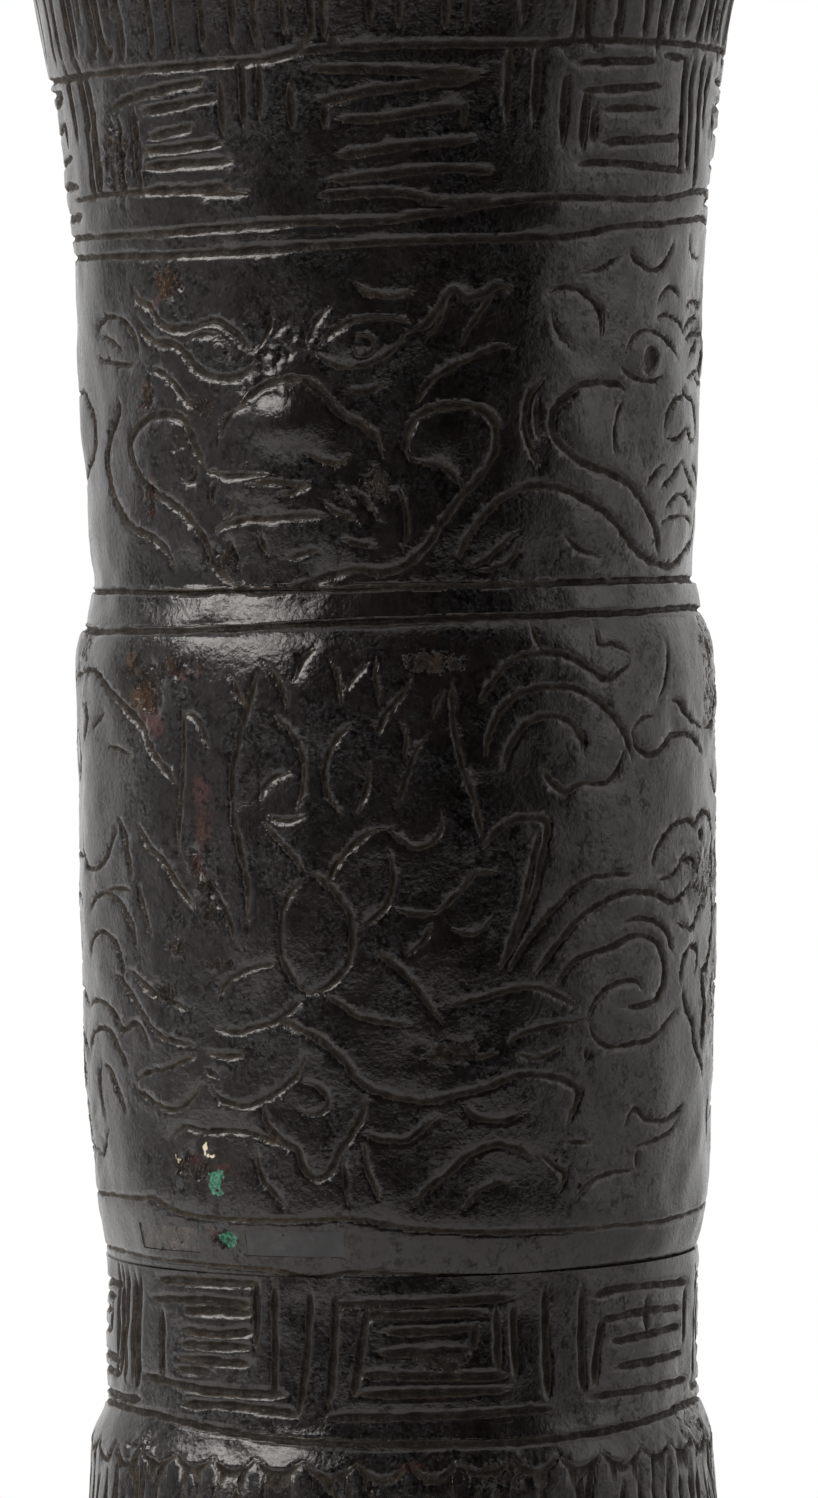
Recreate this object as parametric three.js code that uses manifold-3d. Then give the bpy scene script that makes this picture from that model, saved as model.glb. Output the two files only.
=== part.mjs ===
// A bronze gu: a tall flower vase in the shape of an old ritual beaker, with a trumpet neck, a swelling
// knop at the waist and a spreading hollow foot. It was cast in three rings. A spigot on the neck and one
// on the foot enter the sockets of the knop and are soldered there, a loose disc closes the vessel above
// the hollow foot, and small plates fill the holes that the casting cores left in the wall.
// Millimetres, +Z up. The origin is the centre of the ring that the foot stands on.
import * as THREE from "three";
import { mergeVertices } from "three/addons/utils/BufferGeometryUtils.js";
import Module from "manifold-3d";

const wasm = await Module();
wasm.setup();

// The three castings, from the ground up
const FOOT_HEIGHT = 101;
const KNOP_HEIGHT = 59.5;
const NECK_HEIGHT = 138;

// Radii of the outside
const FOOT_RIM_RADIUS = 50;
const FOOT_FLARE_RADIUS = 47.5;
const FOOT_SHOULDER_RADIUS = 28.6;
const FOOT_WAIST_RADIUS = 27.5;
const KNOP_RADIUS = 30;
const KNOP_TOP_DRAW = 1.2;
const KNOP_BOTTOM_DRAW = 2.0;
const NECK_RADIUS = 28.2;
const NECK_BEAD_RADIUS = 28.7;
const MOUTH_RADIUS = 75;

// Heights of the bands on the foot and the neck
const FOOT_RIM_HEIGHT = 9;
const FOOT_FRET_HEIGHT = 16.4;
const FOOT_FRET_STEP = 1.4;
const NECK_BEAD_HEIGHT = 3.4;
const NECK_BEAD_ROUND = 0.6;

// How fast the outlines swell: the power of the height in each curve
const NECK_FLARE_POWER = 2.55;
const FOOT_FLARE_POWER = 1.5;
const KNOP_TOP_POWER = 4;
const KNOP_BOTTOM_POWER = 2.5;
const KNOP_WIDEST = 0.69; // share of the knop's height at which it is widest

// Metal thickness
const NECK_WALL = 2.8;
const KNOP_WALL = 3;
const FOOT_WALL = 3;
const FOOT_RIM_WALL = 5;
const SPIGOT_WALL = 2.2;

// The soldered joints and the floor disc
const SPIGOT_RADIUS = 24.9;
const SPIGOT_LENGTH = 8;
const JOINT_GAP = 0.3;
const SPIGOT_BLEND = 9; // height over which the bore widens from the spigot to the wall above or below it
const FLOOR_THICKNESS = 2.5;
const SOLDER_LEG = 2;
const SOCKET_LEAD = 1;
const SOCKET_BLEND = 3;

// Plates let into the knop's plain lower strip: where they sit round it, in degrees from the front, and how wide
const PLATES = {
  core_plate_front_left: { bearing: -49, width: 8.2 },
  core_plate_front: { bearing: -20, width: 9.5 },
  core_plate_back_right: { bearing: 128, width: 8.6 },
  core_plate_back_left: { bearing: -141, width: 9 },
};
const PLATE_HEIGHT = 2.4;
const PLATE_DEPTH = 1.7;
const PLATE_RISE = 1.9; // from the knop's lower edge to the lower edge of a plate

// Roundness of the model
const TURN_STEPS = 60;
const FLARE_STEPS = 16;
const KNOP_STEPS = 12;
const LIP_STEPS = 5;

// Heights worked out from the sizes above
const KNOP_BASE = FOOT_HEIGHT;
const NECK_BASE = KNOP_BASE + KNOP_HEIGHT;
const NECK_TOP = NECK_BASE + NECK_HEIGHT;
const SOCKET_RADIUS = SPIGOT_RADIUS + JOINT_GAP;
const SPIGOT_BORE = SPIGOT_RADIUS - SPIGOT_WALL;
const FOOT_FLARE_TOP = FOOT_HEIGHT - FOOT_FRET_HEIGHT;
const FLOOR_UNDERSIDE = KNOP_BASE + SPIGOT_LENGTH;
const FLOOR_TOP = FLOOR_UNDERSIDE + FLOOR_THICKNESS;
const NECK_SPIGOT_END = NECK_BASE - SPIGOT_LENGTH;

// Outer radius of each casting at a height
function footRadius(z) {
  const share = (FOOT_FLARE_TOP - z) / (FOOT_FLARE_TOP - FOOT_RIM_HEIGHT);
  return FOOT_SHOULDER_RADIUS + (FOOT_FLARE_RADIUS - FOOT_SHOULDER_RADIUS) * share ** FOOT_FLARE_POWER;
}

function knopRadius(z) {
  const widest = KNOP_BASE + KNOP_HEIGHT * KNOP_WIDEST;
  if (z > widest) return KNOP_RADIUS - KNOP_TOP_DRAW * ((z - widest) / (NECK_BASE - widest)) ** KNOP_TOP_POWER;
  return KNOP_RADIUS - KNOP_BOTTOM_DRAW * ((widest - z) / (widest - KNOP_BASE)) ** KNOP_BOTTOM_POWER;
}

const FLARE_BASE = NECK_BASE + NECK_BEAD_HEIGHT;
function neckRadius(z) {
  const share = (z - FLARE_BASE) / (NECK_TOP - FLARE_BASE);
  return NECK_RADIUS + (MOUTH_RADIUS - NECK_RADIUS) * share ** NECK_FLARE_POWER;
}

// Points along an outline from one height to another, as [radius, height]
function sweep(radiusAt, from, to, steps) {
  return Array.from({ length: steps + 1 }, (_, i) => {
    const z = from + ((to - from) * i) / steps;
    return [radiusAt(z), z];
  });
}

// The same outline moved inwards by a wall, square to the surface
function inside(points, wall) {
  return points.map(([r, z], i) => {
    const [r0, z0] = points[Math.max(i - 1, 0)];
    const [r1, z1] = points[Math.min(i + 1, points.length - 1)];
    const along = new THREE.Vector2(r1 - r0, z1 - z0).normalize();
    return [r - along.y * wall, z + along.x * wall];
  });
}

// A ring turned from a closed outline, given anticlockwise with the radius to the right
function turned(outline) {
  const points = [...outline, outline[0]].map(([r, z]) => new THREE.Vector2(r, z));
  return new THREE.LatheGeometry(points, TURN_STEPS).rotateX(Math.PI / 2);
}

// Geometry to solid and back, for the cuts
function solid(geometry) {
  const bare = geometry.clone();
  bare.deleteAttribute("normal");
  bare.deleteAttribute("uv");
  const merged = mergeVertices(bare.index ? bare.toNonIndexed() : bare, 1e-4);
  return new wasm.Manifold(
    new wasm.Mesh({
      numProp: 3,
      vertProperties: new Float32Array(merged.attributes.position.array),
      triVerts: new Uint32Array(merged.index.array),
    }),
  );
}

function geometryOf(body) {
  const { vertProperties, triVerts } = body.getMesh();
  const geometry = new THREE.BufferGeometry();
  geometry.setAttribute("position", new THREE.BufferAttribute(vertProperties, 3));
  geometry.setIndex(new THREE.BufferAttribute(triVerts, 1));
  geometry.computeVertexNormals();
  return geometry;
}

// Dark patinated bronze, and the two greyer metals used to join and mend it
const patina = new THREE.MeshStandardMaterial({ color: 0x2b2523, roughness: 0.42, metalness: 0.55 });
const discBronze = new THREE.MeshStandardMaterial({ color: 0x4a3a2c, roughness: 0.6, metalness: 0.6 });
const plateBronze = new THREE.MeshStandardMaterial({ color: 0x3a322c, roughness: 0.7, metalness: 0.4 });
const solderGrey = new THREE.MeshStandardMaterial({ color: 0x6b6a66, roughness: 0.55, metalness: 0.7 });

const vase = new THREE.Group();
function add(name, geometry, material) {
  const mesh = new THREE.Mesh(geometry, material);
  mesh.name = name;
  vase.add(mesh);
}

// The foot: a flat standing ring, the flare, the narrow fret band and the spigot above it
function footCasting() {
  const flare = sweep(footRadius, FOOT_RIM_HEIGHT, FOOT_FLARE_TOP, FLARE_STEPS);
  const hollow = inside(flare, FOOT_WALL).filter(([, z]) => z > FOOT_RIM_HEIGHT && z < FOOT_FLARE_TOP);
  return turned([
    [FOOT_RIM_RADIUS - FOOT_RIM_WALL, 0],
    [FOOT_RIM_RADIUS, 0],
    [FOOT_RIM_RADIUS, FOOT_RIM_HEIGHT],
    ...flare,
    [FOOT_WAIST_RADIUS, FOOT_FLARE_TOP + FOOT_FRET_STEP],
    [FOOT_WAIST_RADIUS, FOOT_HEIGHT],
    [SPIGOT_RADIUS, FOOT_HEIGHT],
    [SPIGOT_RADIUS, FLOOR_UNDERSIDE],
    [SPIGOT_BORE, FLOOR_UNDERSIDE],
    [SPIGOT_BORE, FOOT_HEIGHT - SPIGOT_BLEND],
    ...hollow.reverse(),
    [FOOT_RIM_RADIUS - FOOT_RIM_WALL, FOOT_RIM_HEIGHT / 2],
  ]);
}
add("foot_casting", footCasting(), patina);

// The knop: a barrel with a socket at each end and a slightly wider bore between them
function knopRing() {
  const lowerSocketEnd = FLOOR_TOP + SOLDER_LEG + SOCKET_LEAD;
  const upperSocketEnd = NECK_SPIGOT_END - SOLDER_LEG - SOCKET_LEAD;
  const bore = KNOP_RADIUS - KNOP_WALL;
  return turned([
    [SOCKET_RADIUS, KNOP_BASE],
    ...sweep(knopRadius, KNOP_BASE, NECK_BASE, KNOP_STEPS),
    [SOCKET_RADIUS, NECK_BASE],
    [SOCKET_RADIUS, upperSocketEnd],
    [bore, upperSocketEnd - SOCKET_BLEND],
    [bore, lowerSocketEnd + SOCKET_BLEND],
    [SOCKET_RADIUS, lowerSocketEnd],
  ]);
}

// A block that reaches out through the wall at a bearing, from the floor of a plate's pocket
function plateBlock(bearing, width, height, depth) {
  const edge = knopRadius(KNOP_BASE + PLATE_RISE + PLATE_HEIGHT / 2);
  const reach = depth + KNOP_WALL;
  const block = new THREE.BoxGeometry(width, reach, height);
  block.translate(0, -(edge - depth + reach / 2), KNOP_BASE + PLATE_RISE + PLATE_HEIGHT / 2);
  return solid(block.rotateZ(THREE.MathUtils.degToRad(bearing)));
}

const wholeKnop = solid(knopRing());
let knop = wholeKnop;
for (const [name, { bearing, width }] of Object.entries(PLATES)) {
  knop = knop.subtract(plateBlock(bearing, width, PLATE_HEIGHT, PLATE_DEPTH));
  const plate = plateBlock(bearing, width - 2 * JOINT_GAP, PLATE_HEIGHT - 2 * JOINT_GAP, PLATE_DEPTH - JOINT_GAP);
  add(name, geometryOf(wholeKnop.intersect(plate)), plateBronze);
}
add("knop_casting", geometryOf(knop), patina);

// The neck: the spigot, the bead that sits on the knop, and the trumpet up to a rounded lip
function neckCasting() {
  const flare = sweep(neckRadius, FLARE_BASE, NECK_TOP, FLARE_STEPS);
  const wall = inside(flare, NECK_WALL);
  const lipOut = new THREE.Vector2(...flare.at(-1));
  const lipIn = new THREE.Vector2(...wall.at(-1));
  const lipCentre = lipOut.clone().add(lipIn).multiplyScalar(0.5);
  const lip = Array.from({ length: LIP_STEPS - 1 }, (_, i) => {
    const turn = (Math.PI * (i + 1)) / LIP_STEPS;
    const point = lipOut.clone().rotateAround(lipCentre, turn);
    return [point.x, point.y];
  });
  const bore = wall.filter(([, z]) => z > FLARE_BASE + SPIGOT_BLEND);
  return turned([
    [SPIGOT_BORE, NECK_SPIGOT_END],
    [SPIGOT_RADIUS, NECK_SPIGOT_END],
    [SPIGOT_RADIUS, NECK_BASE],
    [NECK_RADIUS, NECK_BASE],
    [NECK_BEAD_RADIUS, NECK_BASE + NECK_BEAD_ROUND],
    [NECK_BEAD_RADIUS, FLARE_BASE - NECK_BEAD_ROUND],
    ...flare,
    ...lip,
    ...bore.reverse(),
    [SPIGOT_BORE, FLARE_BASE],
  ]);
}
add("neck_casting", neckCasting(), patina);

// The disc that closes the vessel, resting on the end of the foot's spigot
const disc = new THREE.CylinderGeometry(SPIGOT_RADIUS, SPIGOT_RADIUS, FLOOR_THICKNESS, TURN_STEPS);
disc.rotateX(Math.PI / 2).translate(0, 0, (FLOOR_UNDERSIDE + FLOOR_TOP) / 2);
add("floor_disc", disc, discBronze);

// Solder run into the two corners inside the knop: round the disc, and under the neck's spigot
add(
  "floor_solder",
  turned([
    [SPIGOT_RADIUS - SOLDER_LEG, FLOOR_TOP],
    [SPIGOT_RADIUS, FLOOR_TOP],
    [SPIGOT_RADIUS, FLOOR_TOP + SOLDER_LEG],
  ]),
  solderGrey,
);
add(
  "neck_solder",
  turned([
    [SPIGOT_RADIUS, NECK_SPIGOT_END - SOLDER_LEG],
    [SPIGOT_RADIUS, NECK_SPIGOT_END],
    [SPIGOT_RADIUS - SOLDER_LEG, NECK_SPIGOT_END],
  ]),
  solderGrey,
);

export default vase;
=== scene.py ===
# Bronze gu vase: the finished look of a tall cast and chased flower vase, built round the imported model. It is
# put together from the ground up: the foot, the disc that closes the vessel, the knop with its plates, and
# the neck. Lengths are millimetres until a mesh is finished, and metres in Blender.
import math

import bmesh
import bpy
import numpy as np
from mathutils import Matrix, Vector


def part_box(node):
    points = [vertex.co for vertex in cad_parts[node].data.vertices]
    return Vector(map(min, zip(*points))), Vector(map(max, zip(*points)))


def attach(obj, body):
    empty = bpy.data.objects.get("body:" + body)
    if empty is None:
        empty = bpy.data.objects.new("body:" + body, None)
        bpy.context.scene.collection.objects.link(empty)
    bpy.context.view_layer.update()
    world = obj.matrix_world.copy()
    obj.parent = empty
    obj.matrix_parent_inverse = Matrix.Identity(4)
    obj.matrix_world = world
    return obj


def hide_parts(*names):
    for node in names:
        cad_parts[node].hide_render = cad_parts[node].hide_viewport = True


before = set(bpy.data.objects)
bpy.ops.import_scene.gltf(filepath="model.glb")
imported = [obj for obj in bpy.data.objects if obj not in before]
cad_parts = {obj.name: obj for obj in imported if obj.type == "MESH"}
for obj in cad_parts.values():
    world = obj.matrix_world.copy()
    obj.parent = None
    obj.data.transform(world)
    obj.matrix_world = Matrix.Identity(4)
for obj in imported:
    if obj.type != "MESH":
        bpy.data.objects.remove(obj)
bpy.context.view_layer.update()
MM = 0.001
scene = bpy.context.scene
scene.view_settings.view_transform = "Standard"

# The camera. It stands level with the top of the knop, 700 mm from the vase's axis, with a long lens, and
# sees only the middle of the vase, which leans a little to the left in the frame.
CAMERA_DISTANCE, CAMERA_LEVEL, AIM_LEVEL = 700, 168.9, 148.2
FRAME_HEIGHT = 141.3  # of the vase seen at its axis
AXIS_OFFSET = 1.26  # the axis lies this far left of the frame's middle
CAMERA_ROLL = math.radians(0.74)
SENSOR, NEAREST = 36, 10


def shown(name, data):
    """Puts the camera, a lamp or a mesh in the scene."""
    thing = bpy.data.objects.new(name, data)
    scene.collection.objects.link(thing)
    return thing


camera_data = bpy.data.cameras.new("camera")
camera_data.sensor_width = SENSOR
camera_data.lens = SENSOR * CAMERA_DISTANCE / FRAME_HEIGHT
camera_data.clip_start = NEAREST * MM
camera = shown("camera", camera_data)
camera.location = Vector((AXIS_OFFSET, -CAMERA_DISTANCE, CAMERA_LEVEL)) * MM
sight = Vector((0, CAMERA_DISTANCE, AIM_LEVEL - CAMERA_LEVEL)).to_track_quat("-Z", "Y")
camera.rotation_euler = (sight @ Matrix.Rotation(-CAMERA_ROLL, 3, "Z").to_quaternion()).to_euler()
scene.camera = camera

# The foot: the lowest of the three bronze castings, a hollow flare on a flat standing ring. It was cast over
# a clay core, and chased cold with a punch and a hammer: a band of squared scrolls under the knop, then a row
# of scallops, and hatched leaves that hang down to two plain lines above the rim.
SPIGOT_RADIUS, SPIGOT_BORE, SPIGOT_LENGTH = 24.9, 22.7, 8
SPIGOT_BLEND = 9  # height over which a spigot's bore widens into the hollow beyond it
RIM_RADIUS, RIM_HEIGHT, RIM_WALL, RIM_EDGE = 50, 9, 5, 0.5
FLARE_RADIUS, SHOULDER_RADIUS, WAIST_RADIUS = 47.5, 29.35, 27.95
SCROLL_BAND, STEP_HEIGHT = 17.6, 4.6  # the upright band under the knop, and the rounded step at its lower end
FOOT_WALL, FOOT_FLARE_POWER, STEP_POWER = 3, 1.5, 1.5


def levels(node):
    """How low and how high a node of the model reaches."""
    return [corner.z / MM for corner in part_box(node)]


foot_base, foot_top = levels("foot_casting")
foot_top -= SPIGOT_LENGTH
SHOULDER = foot_top - SCROLL_BAND


def foot_radius(z):
    share = np.clip((SHOULDER - z) / (SHOULDER - RIM_HEIGHT), 0, 1)
    flare = SHOULDER_RADIUS + (FLARE_RADIUS - SHOULDER_RADIUS) * share**FOOT_FLARE_POWER
    step = np.sin(np.clip((z - SHOULDER) / STEP_HEIGHT, 0, 1) * math.pi / 2) ** STEP_POWER
    return flare - (SHOULDER_RADIUS - WAIST_RADIUS) * step


# The chaser's drawing board: a casting's skin unrolled flat. Places on it are (millimetres round the vase
# from the front, height): round is measured at 30 mm radius, positive to the right. It holds how deep the
# punch went, how near each place is to a line, where the metal swells, and where it has corroded.
BOARD_RADIUS, BOARD_STEP = 30, 0.1
TURN = 2 * math.pi * BOARD_RADIUS
UNEVENNESS = ((12, 0.1), (4, 0.038), (1.4, 0.013))  # wavelength and size of the swells that casting leaves
LINE_WIDTH, LINE_DEPTH = 0.30, 0.33  # half the width, and the depth, of a usual line
LINE_TAPER, END_WIDTH, END_DEPTH = 2.6, 0.4, 0.3  # where a line thins, and the shares left at its very end
LINE_OFFSET = (0.3, -0.3)  # lines are noted along their upper left edge, and their middle lies this far off
SHAKE, SHAKE_LENGTH, GRIP = 0.04, 0.7, (0.78, 1.16)  # how far a hand strays, how often, and how it presses
GROOVE_ROUNDNESS, PUNCH_REACH = 0.8, 0.9
BURR_HEIGHT, BURR_WIDTH = 0.05, 0.15
CORROSION = ("crust", "cuprite", "malachite", "pale", "rust")
STAIN_REACH, STAIN_CORE, STAIN_FADE = 2.2, 1.3, 0.6  # a stain is whole in its middle and fades past its oval
CRUST_CORE, CRUST_NEARNESS = 0.9, 0.1  # this share of a crust is carved as if it lay so near a line
SLIDE_REACH, SLIDE_MARGIN, STEEPNESS = 0.09, 0.5, (0.6, 1.5)
FAR = 9.0  # as far from a line as counts
SIDES, BACK = (36, TURN - 40), (45, TURN - 45)  # round from the front's right edge to its left


class Board:
    """A casting's unrolled skin, with the marks that are made on it."""

    def __init__(self, low, high, radius_at, seed):
        self.low = low
        self.heights = np.arange(low, high + BOARD_STEP, BOARD_STEP)
        self.rows, self.columns = len(self.heights), round(TURN / BOARD_STEP)
        self.radius_at = radius_at
        self.stretch = radius_at(self.heights) / BOARD_RADIUS
        self.chance = np.random.RandomState(seed)
        self.cut, self.burr, self.relief = np.zeros((3, self.rows, self.columns))
        self.stains = {kind: np.zeros((self.rows, self.columns)) for kind in CORROSION}
        self.near = {run: np.full((self.rows, self.columns), FAR) for run in ("free", "level", "upright")}
        self.uneven = sum(self.noise(wavelength, size) for wavelength, size in UNEVENNESS)

    def window(self, s, z, reach_s, reach_z):
        """The part of the board round a place, with how far each point in it lies from the place."""
        row = (z - self.low) / BOARD_STEP
        r0 = int(max(row - reach_z / BOARD_STEP, 0))
        r1 = int(min(row + reach_z / BOARD_STEP + 2, self.rows))
        stretch = self.stretch[int(min(max(row, 0), self.rows - 1))]
        half = reach_s / stretch / BOARD_STEP
        columns = np.arange(int(s / BOARD_STEP - half), int(s / BOARD_STEP + half) + 2)
        along = (columns * BOARD_STEP - s) * stretch
        up = self.heights[r0:r1] - z
        return np.ix_(np.arange(r0, r1), columns % self.columns), along[None, :], up[:, None]

    def press(self, s, z, half_width, depth, run="free"):
        """Pushes the punch in once."""
        reach = half_width + PUNCH_REACH
        if not self.low - reach < z < self.heights[-1] + reach:
            return
        place, along, up = self.window(s, z, reach, reach)
        away = np.hypot(along, up)
        groove = -depth * np.clip(1 - (away / half_width) ** 2, 0, 1) ** GROOVE_ROUNDNESS
        self.cut[place] = np.minimum(self.cut[place], groove)
        ridge = BURR_HEIGHT * depth / LINE_DEPTH * np.exp(-(((away - half_width) / BURR_WIDTH) ** 2))
        self.burr[place] = np.maximum(self.burr[place], ridge)
        self.near[run][place] = np.minimum(self.near[run][place], away - half_width)

    def line(
        self, points, width=LINE_WIDTH, depth=LINE_DEPTH, run="free",
        shift=0, mirror=None, closed=False, seed=None,
    ):
        """Chases a smooth line through the points, with the small shakes of a hand, thinning at its ends."""
        chance = self.chance if seed is None else np.random.RandomState(seed)
        path = flowing(np.array(points, float) + LINE_OFFSET)
        if mirror is not None:
            path[:, 0] = 2 * mirror - path[:, 0]
        path[:, 0] += shift
        length = max(np.abs(np.diff(path, axis=0)).sum(), 0.5)
        knots = np.linspace(0, 1, max(int(length / SHAKE_LENGTH), 2) + 1)
        along = np.linspace(0, 1, len(path))
        shake = np.stack([np.interp(along, knots, chance.normal(0, SHAKE, len(knots))) for _ in "sz"], 1)
        strength = np.interp(along, knots, chance.uniform(*GRIP, len(knots)))
        taper = min(LINE_TAPER if run == "free" else LINE_TAPER / 2, 0.4 * length)
        ends = 1 if closed else np.clip(np.minimum(along, 1 - along) * length / taper, 0, 1) ** 0.7
        widths = width * strength * (END_WIDTH + (1 - END_WIDTH) * ends)
        depths = depth * strength * (END_DEPTH + (1 - END_DEPTH) * ends)
        for (s, z), half_width, deep in zip(path + shake, widths, depths):
            self.press(s, z, half_width, deep, run)

    def swell(self, ovals):
        """Raises, or with a negative rise sinks, soft ovals."""
        for s, z, half_s, half_z, rise in ovals:
            place, along, up = self.window(s, z, 2.5 * half_s, 2.5 * half_z)
            self.relief[place] += rise * np.exp(-((along / half_s) ** 2 + (up / half_z) ** 2))

    def stain(self, kind, ovals, strength=1.0):
        """Marks ragged patches of one kind of corrosion."""
        field = self.stains[kind]
        for s, z, half_s, half_z in ovals:
            place, along, up = self.window(s, z, STAIN_REACH * half_s, STAIN_REACH * half_z)
            soft = np.clip(STAIN_CORE - STAIN_FADE * np.hypot(along / half_s, up / half_z), 0, 1)
            field[place] = np.maximum(field[place], strength * soft)

    def corrode(self, ovals, strength=1.0):
        """Marks patches of crust, to be modelled as finely as the lines are."""
        self.stain("crust", ovals, strength)
        near = self.near["free"]
        for s, z, half_s, half_z in ovals:
            place, along, up = self.window(s, z, half_s, half_z)
            off = np.hypot(along / half_s, up / half_z)
            near[place] = np.minimum(near[place], np.where(off < CRUST_CORE, CRUST_NEARNESS, FAR))

    def age(self, count, low, high, smallest, largest, strength=0.8):
        """Scatters patches of crust over the sides and the back."""
        least, most = (SIDES[0], low, *smallest), (SIDES[1], high, *largest)
        self.stain("crust", [self.chance.uniform(least, most) for _ in range(count)], strength)

    def spot(self, count, low, high, red_size, green_size):
        """Scatters red spots over the sides and the back, and a green one across from each."""
        for _ in range(count):
            s, z = self.chance.uniform((BACK[0], low), (BACK[1], high))
            self.stain("cuprite", [(s, z, *red_size)])
            self.stain("malachite", [(TURN - s, z, *green_size)])

    def sample(self, field, s, z):
        """Reads a field at places between its points."""
        u = s / BOARD_STEP
        v = np.clip((z - self.low) / BOARD_STEP, 0, self.rows - 1.001)
        u0, v0 = np.floor(u).astype(int), np.floor(v).astype(int)
        fu, fv = u - u0, v - v0
        a, b = u0 % self.columns, (u0 + 1) % self.columns
        lower = field[v0, a] * (1 - fu) + field[v0, b] * fu
        upper = field[v0 + 1, a] * (1 - fu) + field[v0 + 1, b] * fu
        return lower * (1 - fv) + upper * fv

    def slide(self, s, z):
        """Moves places that lie close to a line's edge onto it, so that the edge runs clean in the mesh."""
        near = np.minimum.reduce([*self.near.values()])
        up, along = np.gradient(near, BOARD_STEP)
        off, up, along = (self.sample(field, s, z) for field in (near, up, along))
        stretch = self.radius_at(z) / BOARD_RADIUS
        along /= stretch
        steepness = up**2 + along**2
        sure = (z > self.heights[0] + SLIDE_MARGIN) & (z < self.heights[-1] - SLIDE_MARGIN)
        sure &= (steepness > STEEPNESS[0]) & (steepness < STEEPNESS[1]) & (np.abs(off) < SLIDE_REACH)
        pull = np.where(sure, off, 0) / np.maximum(steepness, STEEPNESS[0])
        return s - pull * along / stretch, z - pull * up

    def noise(self, wavelength, size):
        """Smooth unevenness over the whole board, that meets itself round the vase."""
        rough = self.chance.normal(0, 1, (self.rows, self.columns))
        up, along = np.fft.fftfreq(self.rows, BOARD_STEP), np.fft.rfftfreq(self.columns, BOARD_STEP)
        kept = np.exp(-((up[:, None] ** 2 + along[None, :] ** 2) * wavelength**2))
        smooth = np.fft.irfft2(np.fft.rfft2(rough) * kept, s=rough.shape)
        return smooth / smooth.std() * size


def softened(field):
    """Rounds a field off by a tenth of a millimetre or so."""
    field = (np.roll(field, 1, 1) + 2 * field + np.roll(field, -1, 1)) / 4
    padded = np.vstack([field[:1], field, field[-1:]])
    return (padded[:-2] + 2 * field + padded[2:]) / 4


def flowing(points, step=0.18):
    """Points close together on a smooth curve through a few."""
    if len(points) == 2:
        share = np.linspace(0, 1, max(int(math.dist(*points) / step), 2))[:, None]
        return points[0] + (points[1] - points[0]) * share
    ends = np.vstack([2 * points[0] - points[1], points, 2 * points[-1] - points[-2]])
    found = []
    for p0, p1, p2, p3 in zip(ends, ends[1:], ends[2:], ends[3:]):
        t = np.linspace(0, 1, max(int(math.dist(p1, p2) / step), 2), endpoint=False)[:, None]
        bend, turn = 2 * p0 - 5 * p1 + 4 * p2 - p3, 3 * p1 - p0 - 3 * p2 + p3
        found.append((2 * p1 + (p2 - p0) * t + bend * t**2 + turn * t**3) / 2)
    return np.vstack([*found, points[-1:]])


# How a casting is made here: a ring is spun from its outline, divided more finely where lines run, and the
# metal is pushed in along them. Each point keeps how deep it lies and how corroded it is, for the finish.
COLUMNS = 240  # flat panels round a casting before its skin is divided
FINENESS = (0.55, 0.12)  # how near a line the skin is divided, once and once more
SKIN_DEPTH, SKIN_BLEND, SKIN_MARGIN, SKIN_SHARE, INSIDE_DEPTH = 1, 0.5, 0.6, 0.01, 1.2
SOLID_RADIUS = 26  # what lies nearer the axis than this stays true
SLOPE_STEP = 0.2
END_BLEND, END_HOLD = 2, 1.5  # over which a casting's ends come back to true
CRUST_GRAIN, CRUST_PITS, PIT_TOP = ((0.9, 0.6), (0.45, 0.4)), 0.17, 0.3
BURR_STOP = -0.14  # no burr stands where a line is deeper than this
SHARP = math.radians(50)  # edges that turn by more than this are not shaded smooth


def spun(outline, columns=COLUMNS, closed=True):
    """Spins an outline, noted as (radius, height), into a ring."""
    ring = bmesh.new()
    points = [ring.verts.new((r, 0, z)) for r, z in outline]
    following = points[1:] + points[:1] if closed else points[1:]
    rail = [ring.edges.new(pair) for pair in zip(points, following)]
    axis = (0, 0, 1)
    bmesh.ops.spin(ring, geom=points + rail, axis=axis, angle=2 * math.pi, steps=columns, use_merge=True)
    bmesh.ops.remove_doubles(ring, verts=ring.verts, dist=0.001)
    bmesh.ops.recalc_face_normals(ring, faces=ring.faces)
    return ring


def places(co):
    """Where points lie on the drawing board, and how far from the axis."""
    return np.arctan2(co[:, 0], -co[:, 1]) * BOARD_RADIUS, co[:, 2], np.hypot(co[:, 0], co[:, 1])


def refine(ring, board, low, high, reach):
    """Halves the skin's edges beside a line: the upright ones by a level line, and the other way round."""
    ends = np.array([(*e.verts[0].co, *e.verts[1].co) for e in ring.edges])
    a, b = ends[:, :3], ends[:, 3:]
    s, z, r = places((a + b) / 2)
    upright = np.abs(a[:, 2] - b[:, 2]) > np.hypot(a[:, 0] - b[:, 0], a[:, 1] - b[:, 1])
    close = {run: board.sample(near, s, z) < reach for run, near in board.near.items()}
    wanted = close["free"] | (close["level"] & upright) | (close["upright"] & ~upright)
    wanted &= (z > low) & (z < high) & (r > board.radius_at(z) - SKIN_MARGIN)
    chosen = [edge for edge, take in zip(ring.edges, wanted) if take]
    made = bmesh.ops.subdivide_edges(ring, edges=chosen, cuts=1, use_grid_fill=True)
    for v in made["geom_inner"]:
        if isinstance(v, bmesh.types.BMVert):
            out = float(board.radius_at(v.co.z)) / math.hypot(v.co.x, v.co.y)
            if abs(out - 1) < SKIN_SHARE:
                v.co.x *= out
                v.co.y *= out


def meshed(name, shape):
    """Turns a bmesh into a mesh, with its sharp edges marked."""
    for edge in shape.edges:
        edge.smooth = edge.calc_face_angle(0) < SHARP
    mesh = bpy.data.meshes.new(name)
    shape.to_mesh(mesh)
    shape.free()
    return mesh


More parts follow.
